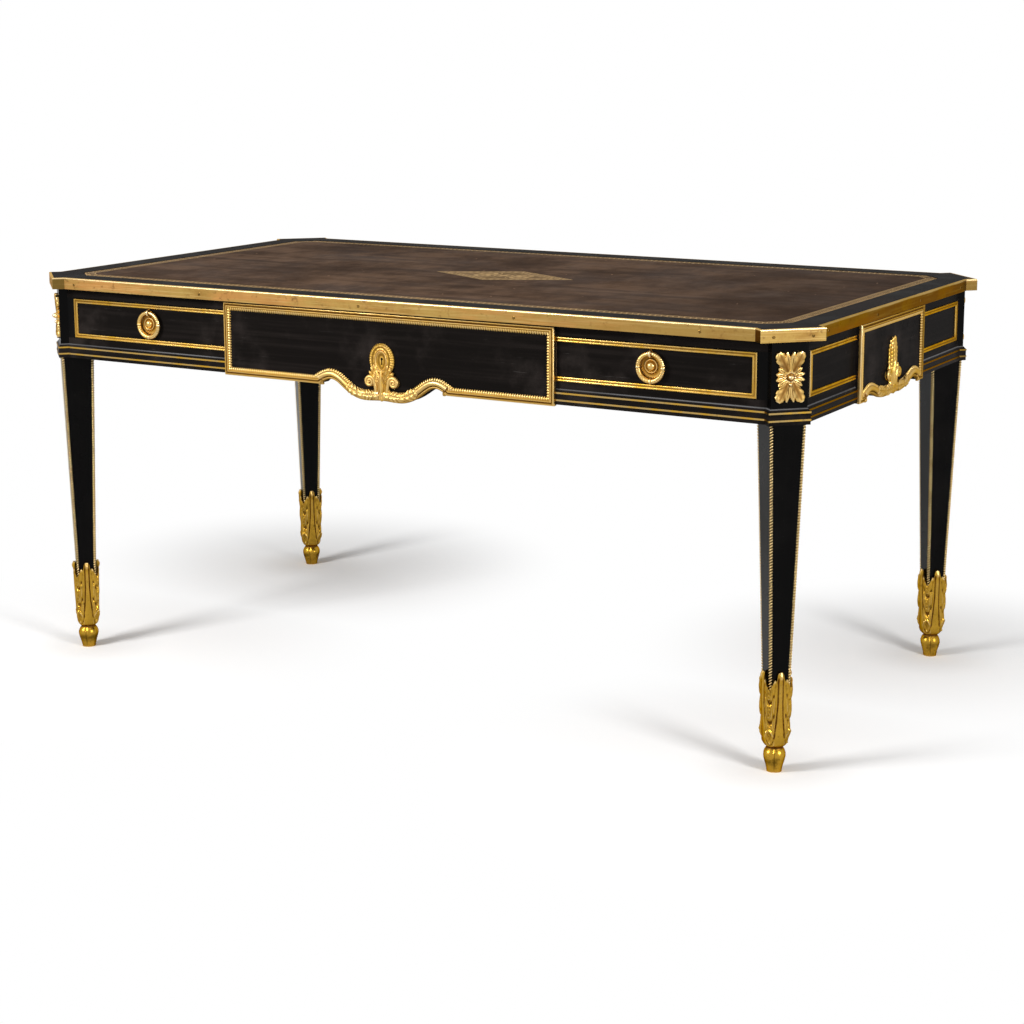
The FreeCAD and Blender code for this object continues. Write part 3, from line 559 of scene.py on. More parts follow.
def block_frame(half, lobe):
    """Moulded gilt frame of a raised block: leaf tips inside it, a roll and long leaves along its foot."""
    line, shaped = block_line(half, lobe)
    parts = [moulding("block_moulding", line, FRAME_PROFILE)]

    def tip(a, b):
        wide = 2.15 * np.interp(b, [0, 0.5, 0.8, 1], [0.9, 1.0, 0.85, 0.40])
        ridge = np.interp(b, [0, 0.3, 0.7, 1], [3.2, 3.7, 3.2, 1.2])
        return a * wide, b * 7.2, ridge - 0.9 * np.abs(a) ** 1.8

    straight = np.vstack((line[shaped - 1:], line[:1]))
    places = walked(straight, 4.9, 8.2) + walked(line[:shaped], 4.4, 12.2, 0.6)
    parts.append(strewn("tips", flat_back(worked_grid("tip", 4, 4, tip), 0.4), places))
    foot, inward = line[:shaped], sideways(line, True)[:shaped]
    parts.append(rod("foot_roll", foot[2:-2] + inward[2:-2] * 9.8, 5.2, 5.0, around=12, lift=2.4))
    for side in (-1, 1):
        for low, high in ((5, 44), (36, 86)):
            near = (side * foot[:, 0] > low) & (side * foot[:, 0] < high)
            track = (foot + inward * 10.6)[near][::side]
            wrap = leaf("wrap", 1, 21, 4, 6.2, groove=0.34, lean=1.2, root=0.9, full=0.95, blunt=0.3,
                        notch=0.80, veins=0.30, line=track, across=12)
            parts.append(moved(wrap, laid(0, 0, 0, 3.6)))
        drop = leaf("ear_drop", 12, 9, 1, 6.0, groove=0.15, root=0.5, full=1.1, blunt=0.5, across=8, fine=12)
        parts.append(moved(drop, laid(side * 131, 616, 180 + side * 20)))
    return joined("block_frame", parts)


def reed_loop(x0, x1, open_side):
    """Two-reed frame round a panel, open where it runs out against a block: -1 is its left, 1 its right."""
    corners = [(x0, REED_LOW), (x1, REED_LOW), (x1, REED_HIGH), (x0, REED_HIGH)]
    if open_side > 0:
        corners = corners[2:] + corners[:2]
    return moulding("reed", corners, REED_PROFILE, closed=False)


def cartouche_rim(y):
    """Leafy oval rim of the keyhole mount, centred at a height: two rolls with fine slanting leaf edges."""
    inner, outer, lobes, high = (11.4, 18.6), (26.5, 31.0), 38, 7.0

    def shape(a, b):
        turn = np.pi * a
        fine = np.cos(lobes * turn + np.sign(np.cos(turn)) * 2.2 * b)
        broad = np.cos(round(lobes * 0.4) * turn + 0.9)
        reach = 1 + 0.016 * b ** 6 * fine
        half = [inner[k] + (outer[k] - inner[k]) * b for k in (0, 1)]
        rolls = 0.34 * np.sin(np.pi * (0.06 + 0.86 * b)) + 0.16 * np.cos(2 * np.pi * (b - 0.20) / 0.52)
        z = high * (0.50 + rolls) + 0.36 * fine * np.exp(-((b - 0.74) / 0.2) ** 2)
        z = z + 0.30 * broad * np.exp(-((b - 0.45) / 0.3) ** 2)
        return half[0] * reach * np.cos(turn), y + half[1] * reach * np.sin(turn), z

    return flat_back(worked_grid("cartouche", lobes * 7, 16, shape))


def key_plate(y):
    """Dished oval plate with a keyhole through it, centred at a height."""
    half, tall = 11.4, 18.2
    angle = np.linspace(-np.pi, np.pi, 721)
    steps = np.linspace(0.4, 12, 400)
    ray_x, ray_y = np.outer(np.cos(angle), steps), np.outer(np.sin(angle), steps)
    eye, low = 3.6, -7.6
    eye_radius, slit_half = 2.7, 1.5
    round_hole = ray_x ** 2 + (ray_y - eye) ** 2 < eye_radius ** 2
    slit = (np.abs(ray_x) < slit_half) & (ray_y < eye) & (ray_y > low)
    edge = steps[np.maximum(np.argmin(round_hole | slit, axis=1) - 1, 0)]

    def shape(a, b):
        turn = np.pi * a
        hole = np.interp(turn, angle, edge)
        rim = 1 / np.sqrt((np.cos(turn) / half) ** 2 + (np.sin(turn) / tall) ** 2)
        reach = hole + (rim - hole) * b
        return reach * np.cos(turn), y + reach * np.sin(turn), 2.4 + 2.6 * b ** 2

    return flat_back(worked_grid("key_plate", 96, 8, shape))


def horn_pair(x, y, radius, start_x, start_y, eye, eye_high):
    """Two scrolls that rise from a stem, turn outward over their tops and wind in on rounded backs."""
    t = np.linspace(0, 1, 34)
    size = radius * (1 - 0.84 * t ** 0.8)
    angle = math.radians(150) - 3.5 * np.pi * t
    coil = np.stack((x + size * np.cos(angle), y + size * np.sin(angle)), axis=1)
    middle = ((start_x + coil[0, 0]) / 2 - 1.0, (start_y + coil[0, 1]) / 2 + 1)
    lead = smooth_line([(start_x, start_y), middle, coil[0]], 6)
    line = np.vstack((lead[:-1], coil))
    taper = np.linspace(0, 1, len(line))
    wide = np.interp(taper, [0, 0.3, 0.85, 1], [3.4, 3.9, 2.5, 2.8])
    bar = rod("horn", line, wide, wide * 1.1, lift=np.interp(taper, [0, 0.5, 1], [3.4, 4.0, 5.4]))
    back = dome("horn_back", x, y, radius, 4.2)
    right = joined("horn", [bar, back, dome("scroll_eye", x, y, eye, eye_high, around=12, rings=4)])
    return [right, copied(right, "horn", Matrix.Diagonal((-1, 1, 1, 1)))]


def stem_foot(lobe):
    """Bud between two curling leaves that rise from the foot of a frame and carry a mount."""
    bud = leaf("bud", 52, 11.5, 1, 8.6, groove=0.0, root=0.5, full=1.0, blunt=0.3, swell=1.6, across=10,
               fine=18, **PLAIN)
    drop = leaf("drop", 21, 17, 2, 6.6, groove=0.1, root=0.5, notch=0.75)
    parts = [moved(bud, laid(0, lobe + 5, 0, 2.2)), moved(drop, laid(0, lobe + 19, 180, 2.4))]
    for side in (-1, 1):
        near = [(side * x, lobe + up) for x, up in ((15, 3), (9, 13), (7.2, 30), (6.5, 48))]
        parts.append(swept("flank", near, 9.0, 1, 7.0, 1.4, groove=0.3, root=0.7, full=0.9, across=10,
                           fine=18, **PLAIN))
        far = [(side * x, lobe + up) for x, up in ((27, 5), (17, 9), (12.5, 20), (11.5, 34))]
        parts.append(swept("outer", far, 8.5, 3, 5.6, 1.2, groove=0.2, root=0.7, full=0.9, notch=0.8,
                           across=8))
        parts.append(dome("pip", side * 11.5, lobe + 2.6, 2.7, 6.4, around=12, rings=4))
    return parts


def escutcheon_form(lobe):
    """Oval cartouche with a keyhole on a leafy stem, drawn with Y as the height over the floor."""
    centre = 658.0
    parts = stem_foot(lobe)
    parts += [cartouche_rim(centre + 1.0), key_plate(centre)]
    turn = np.linspace(0, 2 * np.pi, 48, endpoint=False)
    oval = np.stack((11.8 * np.cos(turn), centre + 18.6 * np.sin(turn)), axis=1)
    bead = [(-1.6, 1), (-1.6, 5.0), (-0.8, 6.4), (0, 6.8), (0.8, 6.4), (1.6, 5.0), (1.6, 1)]
    parts.append(moulding("rim", oval, bead))
    for side in (-1, 1):
        for wide, lift, bend in ((10, 2.6, [(6, 614), (12, 622), (18, 630), (26, 638)]),
                                 (9.5, 3.4, [(5, 618), (10, 628), (15, 637), (21.5, 646)]),
                                 (8, 4.4, [(3.5, 622), (7, 632), (11, 641), (15, 652)])):
            parts.append(swept("sweep", [(side * x, y) for x, y in bend], wide, 3, 6.2, lift, **BROAD))
    parts += horn_pair(25.5, 619, 10.4, 12, lobe + 8, 2.6, 8.4)
    return joined("escutcheon_form", parts)


def upright_leaf(lobe):
    """Tall acanthus leaf between two scrolls, drawn with Y as the height over the floor."""
    parts = stem_foot(lobe)
    foot = lobe + 18
    tall = LEAF_TIP - foot
    ground = leaf("leaf_ground", tall, 31, 1, 6.4, groove=0.0, root=0.8, full=0.95, blunt=0.35, swell=2.2,
                  across=12, fine=24, **PLAIN)
    parts.append(moved(ground, laid(0, foot)))
    leaflet = leaf("leaflet", 13.5, 9.0, 1, 3.8, groove=0.2, root=0.6, full=0.9, blunt=0.2, swell=2.0,
                   across=8, **PLAIN)
    places = []
    for row in range(10):
        share = np.interp(row, [0, 3, 7, 9], [0.95, 1.0, 1.0, 0.55])
        for x, turn, up, lift in ((-13, 26, 0, 0.8), (13, -26, 0, 0.8), (-6.8, 12, 2.5, 2.8),
                                  (6.8, -12, 2.5, 2.8), (0, 0, 5, 4.0)):
            places.append(laid(x * share, foot + 1 + up + row * (tall - 17) / 9, turn, lift))
    parts.append(strewn("leaflets", leaflet, places))
    for side in (-1, 1):
        bend = [(side * 7, lobe + 22), (side * 17, lobe + 34), (side * 21, lobe + 52)]
        parts.append(swept("side_leaf", bend, 11, 3, 6.0, 1.6, **BROAD))
    parts += horn_pair(23, lobe + 34, 9.4, 10, lobe + 8, 2.4, 8.0)
    return joined("upright_leaf", parts)


def rosette_form():
    """Dished rosette with a raised ring and a domed knob, turned from a profile of radius and height."""
    profile = np.array([
        (21.8, -0.3), (21.9, 0.8), (21.4, 1.5), (20.4, 1.9), (18.8, 1.9), (17.0, 1.9), (15.5, 2.0),
        (14.2, 2.4), (13.4, 3.2), (12.9, 4.6), (12.2, 5.8), (11.2, 6.3), (10.2, 5.8), (9.6, 4.6), (9.0, 3.6),
        (8.2, 3.4), (7.7, 4.0), (7.3, 5.8), (6.6, 7.6), (5.1, 9.2), (2.8, 10.4), (0, 10.8)])

    def shape(a, b):
        k = np.rint(b * (len(profile) - 1)).astype(int)
        return profile[k, 0] * np.cos(np.pi * a), profile[k, 0] * np.sin(np.pi * a), profile[k, 1]

    return closed_up(worked_grid("rosette", 48, len(profile) - 1, shape))


def ring_form():
    """Chased ring, thicker at its foot, bound at intervals and thin where it hangs. Drawn in X and Y."""
    def shape(a, b):
        turn = np.pi * (2 * b - 0.5)
        roll = np.pi * a
        low = 0.5 - 0.5 * np.sin(turn)
        scale = np.abs(np.sin(20 * turn + 1.2 * np.sin(roll))) ** 0.6
        bar = 3.7 + 0.6 * low + 0.36 * scale * (0.35 + 0.65 * np.cos(roll / 2) ** 2)
        for bound in (-0.5 * np.pi, 0, np.pi):
            away = np.angle(np.exp(1j * (turn - bound)))
            bar = bar + 0.20 * np.exp(-(away / 0.06) ** 2)
            bar = bar - 0.25 * np.exp(-((np.abs(away) - 0.13) / 0.04) ** 2)
        top = np.angle(np.exp(1j * (turn - np.pi / 2)))
        bar = bar - 0.35 * np.exp(-(top / 0.16) ** 2)
        reach = 23.5 + bar * np.cos(roll)
        return reach * np.cos(turn), reach * np.sin(turn), bar * np.sin(roll)

    return closed_up(worked_grid("ring", 16, 280, shape))


# Material nodes

def new_finish(name):
    """A material with its node tree and its shader."""
    finish = bpy.data.materials.new(name)
    finish.use_nodes = True
    return finish, finish.node_tree, finish.node_tree.nodes["Principled BSDF"]


def node(tree, kind, inputs=None, **settings):
    """One shader node: inputs are values or sockets to link, by name or number."""
    made = tree.nodes.new("ShaderNode" + kind)
    for key, value in settings.items():
        setattr(made, key, value)
    for key, value in (inputs or {}).items():
        if isinstance(value, bpy.types.NodeSocket):
            tree.links.new(value, made.inputs[key])
        else:
            made.inputs[key].default_value = value
    return made


def colour4(rgb):
    return (rgb[0], rgb[1], rgb[2], 1.0)


def scaled(rgb, share):
    return [c * share for c in rgb]


def mixed(share, first, second):
    """Colour between first and second by share."""
    ends = [c if isinstance(c, bpy.types.NodeSocket) else colour4(c) for c in (first, second)]
    return node(share.id_data, "Mix", {0: share, 6: ends[0], 7: ends[1]}, data_type="RGBA").outputs[2]


def maths(operation, *values):
    """One step of arithmetic on numbers and sockets, at least one of them a socket."""
    tree = next(value.id_data for value in values if isinstance(value, bpy.types.NodeSocket))
    return node(tree, "Math", dict(enumerate(values)), operation=operation).outputs[0]


def times(first, second):
    return maths("MULTIPLY", first, second)


def plus(first, second):
    return maths("ADD", first, second)


def minus(first, second):
    return maths("SUBTRACT", first, second)


def most(first, second):
    return maths("MAXIMUM", first, second)


def aside(value):
    return maths("ABSOLUTE", value)


def ramp(value, low, high, out_low=0.0, out_high=1.0):
    """Goes smoothly from out_low to out_high as value goes from low to high."""
    ends = {0: value, 1: low, 2: high, 3: out_low, 4: out_high}
    return node(value.id_data, "MapRange", ends, interpolation_type="SMOOTHSTEP").outputs[0]


def within_line(value, middle, half, soft=0.0004):
    """1 where value lies within half of the middle, with soft edges."""
    return ramp(aside(minus(value, middle)), half + soft, half - soft)


def position(tree):
    """Object coordinates X, Y and Z."""
    return node(tree, "SeparateXYZ", {0: node(tree, "TexCoord").outputs["Object"]}).outputs


def place_on(tree, scale=(1, 1, 1), turn=(0, 0, 0), shift=(0, 0, 0)):
    """Object coordinates, scaled and turned for a pattern."""
    where = node(tree, "TexCoord").outputs["Object"]
    inputs = {"Vector": where, "Scale": scale, "Rotation": turn, "Location": shift}
    return node(tree, "Mapping", inputs).outputs[0]


def grain_noise(where, scale, detail, rough):
    inputs = {"Vector": where, "Scale": scale, "Detail": detail, "Roughness": rough}
    return node(where.id_data, "TexNoise", inputs).outputs[0]


def cells(where, scale):
    return node(where.id_data, "TexVoronoi", {"Vector": where, "Scale": scale}).outputs["Distance"]


def painted(shader, colour, rough, height, strength, distance):
    """Links a colour, a roughness and a bump height that change over the surface."""
    links = shader.id_data.links
    links.new(colour, shader.inputs["Base Color"])
    links.new(rough, shader.inputs["Roughness"])
    bump = node(shader.id_data, "Bump", {"Height": height, "Strength": strength, "Distance": distance})
    links.new(bump.outputs[0], shader.inputs["Normal"])


def ebonised(name, look, grain, shine, dull=0.0, tone=1.0, painted_shoulder_highlight=False):
    """Black polished wood. Grain is how fast the figure changes along X, Y and Z; dull roughens and tone
    deepens it, and the shoulder option paints a grey highlight along the shoulder of the base moulding."""
    finish, tree, shader = new_finish(name)
    streak = grain_noise(place_on(tree, grain), 1.0, 6.0, 0.62)
    fine = grain_noise(place_on(tree, [g * 5 for g in grain], shift=(3, 7, 1)), 1.0, 4.0, 0.66)
    smudge = grain_noise(place_on(tree), 7.0, 5.0, 0.6)
    worn = mixed(ramp(streak, 0.42, 0.80), scaled(look.ebony, tone), scaled(look.ebony_worn, tone))
    worn = mixed(ramp(smudge, 0.50, 0.72, 0.0, 0.8), worn, scaled(look.ebony_worn, 1.9 * tone))
    crazed = times(ramp(fine, 0.66, 0.72), ramp(smudge, 0.44, 0.60))
    lined = mixed(times(crazed, 0.8 * tone), worn, (0.055, 0.051, 0.048))
    specks = times(ramp(cells(place_on(tree), 210.0), 0.060, 0.03), ramp(smudge, 0.52, 0.70))
    colour = mixed(specks, lined, (0.16, 0.155, 0.15))
    if painted_shoulder_highlight:
        # painted highlight: a grey line along the shoulder of the base moulding
        shoulder_level = 0.6348
        shoulder = within_line(position(tree)[2], shoulder_level, 0.0009, 0.0006)
        colour = mixed(times(shoulder, ramp(streak, 0.30, 0.60, 0.3, 1.0)), colour, (0.13, 0.128, 0.13))
    gloss = plus(ramp(smudge, 0.3, 0.75, 0.20 + dull, 0.36 + dull), times(crazed, 0.12))
    shader.inputs["Specular IOR Level"].default_value = shine
    painted(shader, colour, gloss, plus(times(streak, 0.5), times(fine, 0.35)), 0.16, 0.0009)
    return finish


def gilt(name, gold, shade, bright, tarnish_and_shade, matt=0.0, spotted=0.3, painted_shade_mask=None, hollows=True):
    """Fire gilt bronze. Where hollows is set, the hollows of the piece take tarnish with painted shade and
    its ridges take rubbed gold with a painted highlight. A mask, where given, paints shade that deepens a
    part of it."""
    finish, tree, shader = new_finish(name)
    blotch = grain_noise(place_on(tree), 36.0, 5.0, 0.6)
    spots = grain_noise(place_on(tree, shift=(2, 4, 1)), 85.0, 5.0, 0.65)
    chasing = grain_noise(place_on(tree), 620.0, 2.0, 0.5)
    body = mixed(ramp(blotch, 0.36, 0.68), gold, shade)
    rub = ramp(blotch, 0.3, 0.7, 0.22 + matt, 0.36 + matt)
    if hollows:
        cavity = node(tree, "Attribute", attribute_name="hollows").outputs["Fac"]
        # painted shade with tarnish in the hollows, and rubbed gold with a painted highlight on the ridges
        deep = ramp(cavity, 0.36, 0.04)
        body = mixed(deep, body, tarnish_and_shade)
        body = mixed(ramp(cavity, 0.52, 0.96, 0.0, 0.85), body, bright)
        rub = plus(rub, times(deep, 0.25))
    body = mixed(ramp(spots, 0.56, 0.72, 0.0, spotted), body, scaled(shade, 0.22))
    # painted shade over the part that the mask picks out
    if painted_shade_mask:
        body = mixed(painted_shade_mask(position(tree), blotch), body, scaled(shade, 0.3))
    shader.inputs["Metallic"].default_value = 1.0
    shader.inputs["Specular Tint"].default_value = colour4([min(1, c * 1.15) for c in gold])
    painted(shader, body, rub, chasing, 0.18, 0.0004)
    return finish


def edge_brass(name, look, tone=1.0, shaded_returns=False):
    """Brass strip of the top's edge: drawn along its length, patchy on its face and lighter at its upper
    corner. The returns option paints shade onto the short faces of the corner blocks."""
    finish, tree, shader = new_finish(name)
    cloud = grain_noise(place_on(tree), 9.0, 6.0, 0.65)
    patch = grain_noise(place_on(tree, (3.2, 3.2, 24), shift=(5, 1, 3)), 1.0, 6.0, 0.66)
    spots = grain_noise(place_on(tree), 90.0, 5.0, 0.65)
    drawn = grain_noise(place_on(tree, (8, 8, 420)), 1.0, 4.0, 0.65)
    x, y, level = position(tree)
    colour = mixed(ramp(cloud, 0.38, 0.62), scaled(look.brass, tone), scaled(look.patina, tone))
    for field, low, high, share, rgb in ((patch, 0.47, 0.62, 0.85, (0.47, 0.225, 0.068)),
                                         (drawn, 0.48, 0.70, 0.5, (0.60, 0.43, 0.17)),
                                         (spots, 0.56, 0.74, 0.7, (0.13, 0.062, 0.020))):
        colour = mixed(ramp(field, low, high, 0.0, share), colour, scaled(rgb, tone))
    if shaded_returns:
        # painted shade: the short faces of the corner blocks are darkened
        return_x, return_y, soft = 0.7569, 0.3865, 0.0005
        short = most(ramp(aside(x), return_x + soft, return_x - soft),
                     ramp(aside(y), return_y + soft, return_y - soft))
        colour = mixed(times(short, ramp(cloud, 0.3, 0.7, 0.9, 0.6)), colour, (0.12, 0.075, 0.016))
    else:
        colour = mixed(ramp(x, -0.2, 0.5, 0.0, 0.45), colour, scaled(look.patina, tone))
    # lighter along the upper corner of the strip
    corner_low, corner_high = 0.7682, 0.7708
    upper_corner = ramp(plus(level, times(cloud, 0.004)), corner_low, corner_high)
    colour = mixed(upper_corner, colour, scaled((0.70, 0.52, 0.26), tone))
    shader.inputs["Metallic"].default_value = 1.0
    shader.inputs["Specular Tint"].default_value = colour4(scaled((0.60, 0.41, 0.14), tone))
    painted(shader, colour, ramp(cloud, 0.3, 0.7, 0.26, 0.44), plus(drawn, spots), 0.14, 0.0005)
    return finish


def plain_oak(name, look, grain):
    """Unpolished oak of the drawer linings and runners."""
    finish, tree, shader = new_finish(name)
    figure = grain_noise(place_on(tree, grain), 1.0, 5.0, 0.6)
    pores = grain_noise(place_on(tree, [g * 6 for g in grain]), 1.0, 2.0, 0.5)
    body = mixed(ramp(figure, 0.35, 0.7), look.oak, scaled(look.oak, 0.55))
    body = mixed(ramp(pores, 0.6, 0.72, 0.0, 0.7), body, scaled(look.oak, 0.3))
    painted(shader, body, ramp(figure, 0.3, 0.7, 0.5, 0.75), pores, 0.25, 0.0005)
    return finish


def dull_steel(name, look):
    """Steel of the lock, drawn and a little rusty."""
    finish, tree, shader = new_finish(name)
    rust = grain_noise(place_on(tree), 60.0, 6.0, 0.65)
    drawn = grain_noise(place_on(tree, (900, 20, 20)), 1.0, 2.0, 0.5)
    body = mixed(ramp(rust, 0.52, 0.72), look.steel, (0.11, 0.06, 0.035))
    shader.inputs["Metallic"].default_value = 1.0
    painted(shader, body, ramp(rust, 0.35, 0.7, 0.32, 0.6), drawn, 0.1, 0.0003)
    return finish


def tooled_marks(x, y, half, deep, cut):
    """Gold marks on the leather: lines and a chain round its edge, and a scrolled lozenge in the middle."""
    wide, tall = aside(x), aside(y)
    from_end, from_front = minus(half, wide), minus(deep, tall)
    from_cut = times(minus(plus(from_end, from_front), cut), 0.7071)
    inset = maths("MINIMUM", maths("MINIMUM", from_end, from_front), from_cut)
    marks = [within_line(inset, place, thick) for place, thick in (
        (0.0040, 0.0011), (0.0066, 0.0005), (0.0194, 0.0005), (0.0222, 0.0011))]
    chain, link, sway = 0.0130, 0.022, 0.0042
    swing = times(maths("SINE", times(plus(x, times(y, 1.31)), 2 * math.pi / link)), sway)
    for strand in (minus(inset, swing), plus(inset, swing)):
        marks.append(within_line(strand, chain, 0.0013))

    lozenge_x, lozenge_y = 0.157, 0.080
    lozenge = plus(maths("DIVIDE", wide, lozenge_x), maths("DIVIDE", tall, lozenge_y))
    marks += [within_line(lozenge, place, thick, 0.006) for place, thick in (
        (0.978, 0.020), (0.925, 0.006), (0.745, 0.006), (0.695, 0.016))]
    edge_run = minus(times(wide, 0.891), times(tall, 0.454))
    twist = maths("SINE", plus(times(edge_run, 2 * math.pi / 0.013), times(lozenge, 14.0)))
    marks.append(times(ramp(twist, -0.55, -0.15), within_line(lozenge, 0.835, 0.065, 0.006)))
    scroll_x, scroll_y = minus(wide, 0.038), minus(tall, 0.012)
    far = maths("SQRT", plus(times(scroll_x, scroll_x), times(scroll_y, scroll_y)))
    wind = maths("SINE", plus(maths("ARCTAN2", scroll_y, scroll_x), times(far, 430.0)))
    scrolls = times(ramp(wind, -0.45, -0.10), ramp(far, 0.0260, 0.0245))
    flower = ramp(times(wide, tall), 0.000034, 0.000022)
    marks.append(times(most(scrolls, flower), ramp(lozenge, 0.655, 0.645)))
    gold = ramp(lozenge, 1.0, 0.985, 0.0, 0.34)
    for mark in marks:
        gold = most(gold, mark)
    return gold


def tooled_leather(name, look, half, deep, cut):
    """Worn brown leather with its gold tooling. Half its length, half its depth and its cut in metres."""
    finish, tree, shader = new_finish(name)
    x, y = position(tree)[:2]
    leaf_wear = grain_noise(place_on(tree, (1, 2.2, 1)), 55.0, 4.0, 0.65)
    gold = times(tooled_marks(x, y, half, deep, cut), ramp(leaf_wear, 0.30, 0.54, 0.5, 1.0))
    streak = grain_noise(place_on(tree, (7.5, 4.6, 1), (0, 0, 0.35)), 1.0, 9.0, 0.72)
    slant = grain_noise(place_on(tree, (3.0, 26, 1), (0, 0, 0.12), (4, 1, 0)), 1.0, 7.0, 0.68)
    cloud = grain_noise(place_on(tree), 4.6, 6.0, 0.62)
    scratch = grain_noise(place_on(tree, (3.2, 150, 1), (0, 0, 0.10)), 1.0, 3.0, 0.5)
    cross = grain_noise(place_on(tree, (150, 4.0, 1), (0, 0, 0.35), (2, 5, 0)), 1.0, 3.0, 0.5)
    scuffs = most(ramp(scratch, 0.70, 0.76), ramp(cross, 0.74, 0.80))
    grit = times(ramp(cells(place_on(tree, (1, 0.5, 1)), 34.0), 0.07, 0.03), ramp(cloud, 0.50, 0.58))
    body = mixed(ramp(streak, 0.36, 0.64), look.leather, look.leather_worn)
    for share, rgb in ((ramp(slant, 0.46, 0.66, 0.0, 0.75), scaled(look.leather, 0.6)),
                       (ramp(cloud, 0.50, 0.70, 0.0, 0.5), scaled(look.leather, 0.55)),
                       # painted shade: the leather darkens towards its right end
                       (ramp(x, 0.05, 0.75, 0.0, 0.5), scaled(look.leather, 0.6)),
                       (times(scuffs, 0.55), scaled(look.leather_worn, 1.9)),
                       (grit, scaled(look.leather_worn, 3.2)),
                       (gold, look.tooling)):
        body = mixed(share, body, rgb)
    shader.inputs["Specular IOR Level"].default_value = 0.005
    press = minus(times(cells(place_on(tree), 520.0), 0.22), times(gold, 0.6))
    press = minus(press, times(scuffs, 0.25))
    painted(shader, body, ramp(cloud, 0.3, 0.7, 0.48, 0.66), press, 0.35, 0.0006)
    return finish


def dress(finish, *names):
    """Gives a finish to CAD nodes."""
    for name in names:
        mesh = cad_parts[name].data
        mesh.materials.clear()
        mesh.materials.append(finish)


# Stage

def background_rays(tree):
    """1 for the rays that show the plain white background."""
    seen = node(tree, "LightPath").outputs
    return most(seen["Is Camera Ray"], most(seen["Is Glossy Ray"], seen["Is Transmission Ray"]))


def studio_floor(look):
    """White floor that keeps its shadow near the feet."""
    finish, tree, shader = new_finish("studio_floor")
    shader.inputs["Base Color"].default_value = colour4(look.floor)
    shader.inputs["Roughness"].default_value = 0.9
    shader.inputs["Specular IOR Level"].default_value = 0.0
    rays = background_rays(tree)
    where = node(tree, "TexCoord").outputs["Object"]
    near, far = 0.10, 0.62
    away = 9.0
    for _, sx, sy in LEGS:
        ends = {0: where, 1: at_leg(sx, sy).translation}
        away = maths("MINIMUM", node(tree, "VectorMath", ends, operation="DISTANCE").outputs[1], away)
    glow = node(tree, "Emission", {"Color": (1, 1, 1, 1), "Strength": 1.0}).outputs[0]
    share = times(rays, ramp(away, near, far))
    both = node(tree, "MixShader", {0: share, 1: shader.outputs[0], 2: glow}).outputs[0]
    fill = times(times(rays, ramp(away, near, far, 0.13, 0.0)), ramp(away, 0.03, 0.17))
    faint = node(tree, "Emission", {"Color": (1, 1, 1, 1), "Strength": fill}).outputs[0]
    both = node(tree, "AddShader", {0: both, 1: faint}).outputs[0]
    tree.links.new(both, tree.nodes["Material Output"].inputs["Surface"])
    return finish


def studio_world(look):
    """Even light, seen as white."""
    world = bpy.data.worlds.new("studio")
    world.use_nodes = True
    tree = world.node_tree
    sky = tree.nodes["Background"]
    sky.inputs["Color"].default_value = (1, 1, 1, 1)
    tree.links.new(ramp(background_rays(tree), 0, 1, look.sky_level, 1.0), sky.inputs["Strength"])
    return world


# Operators

class DESK_OT_ebonised_wood(bpy.types.Operator):
    """Black polish on the top, legs, frieze and drawer fronts, with its grain along each board"""
    bl_idname = "desk.ebonised_wood"
    bl_label = "Ebonised wood"

    def execute(self, context):
        look = context.scene.desk_finish
        level, upright = (3.0, 3.0, 110), (110, 110, 3.0)
        dress(ebonised("ebonised_top", look, (2.2, 95, 95), 0.004, dull=0.22), "top_panel")
        dress(ebonised("ebonised_boards", look, level, 0.003), "front_top_rail", "front_drawer_rail",
              "frieze_back", "frieze_left", "frieze_right", "back_block", "end_block_left",
              "end_block_right", "centre_drawer_front", "centre_drawer_block", "left_drawer_front",
              "right_drawer_front")
        dress(ebonised("ebonised_aprons", look, level, 0.0, dull=0.3), "block_aprons", "centre_drawer_apron")
        dress(ebonised("ebonised_base", look, level, 0.006, painted_shoulder_highlight=True), "base_mouldings")
        # painted shade: the legs and front stiles take a far darker copy of the ebonised wood
        dress(ebonised("ebonised_legs", look, upright, 0.055, tone=0.1), "front_stiles",
              *("leg_" + name for name, _, _ in LEGS))
        return {"FINISHED"}


class DESK_OT_drawer_linings(bpy.types.Operator):
    """Oak of the drawer sides, bottoms and runners, and the steel of the lock"""
    bl_idname = "desk.drawer_linings"
    bl_label = "Drawer linings and lock"

    def execute(self, context):
        look = context.scene.desk_finish
        dress(plain_oak("oak_deep", look, (60, 2.5, 60)), "centre_drawer_sides", "left_drawer_sides",
              "right_drawer_sides", "drawer_divider_left", "drawer_divider_right", "drawer_runners",
              "drawer_kickers", "drawer_guides")
        dress(plain_oak("oak_wide", look, (2.5, 60, 60)), "centre_drawer_bottom", "left_drawer_bottom",
              "right_drawer_bottom")
        dress(dull_steel("lock_steel", look), "lock_case", "lock_bolt")
        return {"FINISHED"}


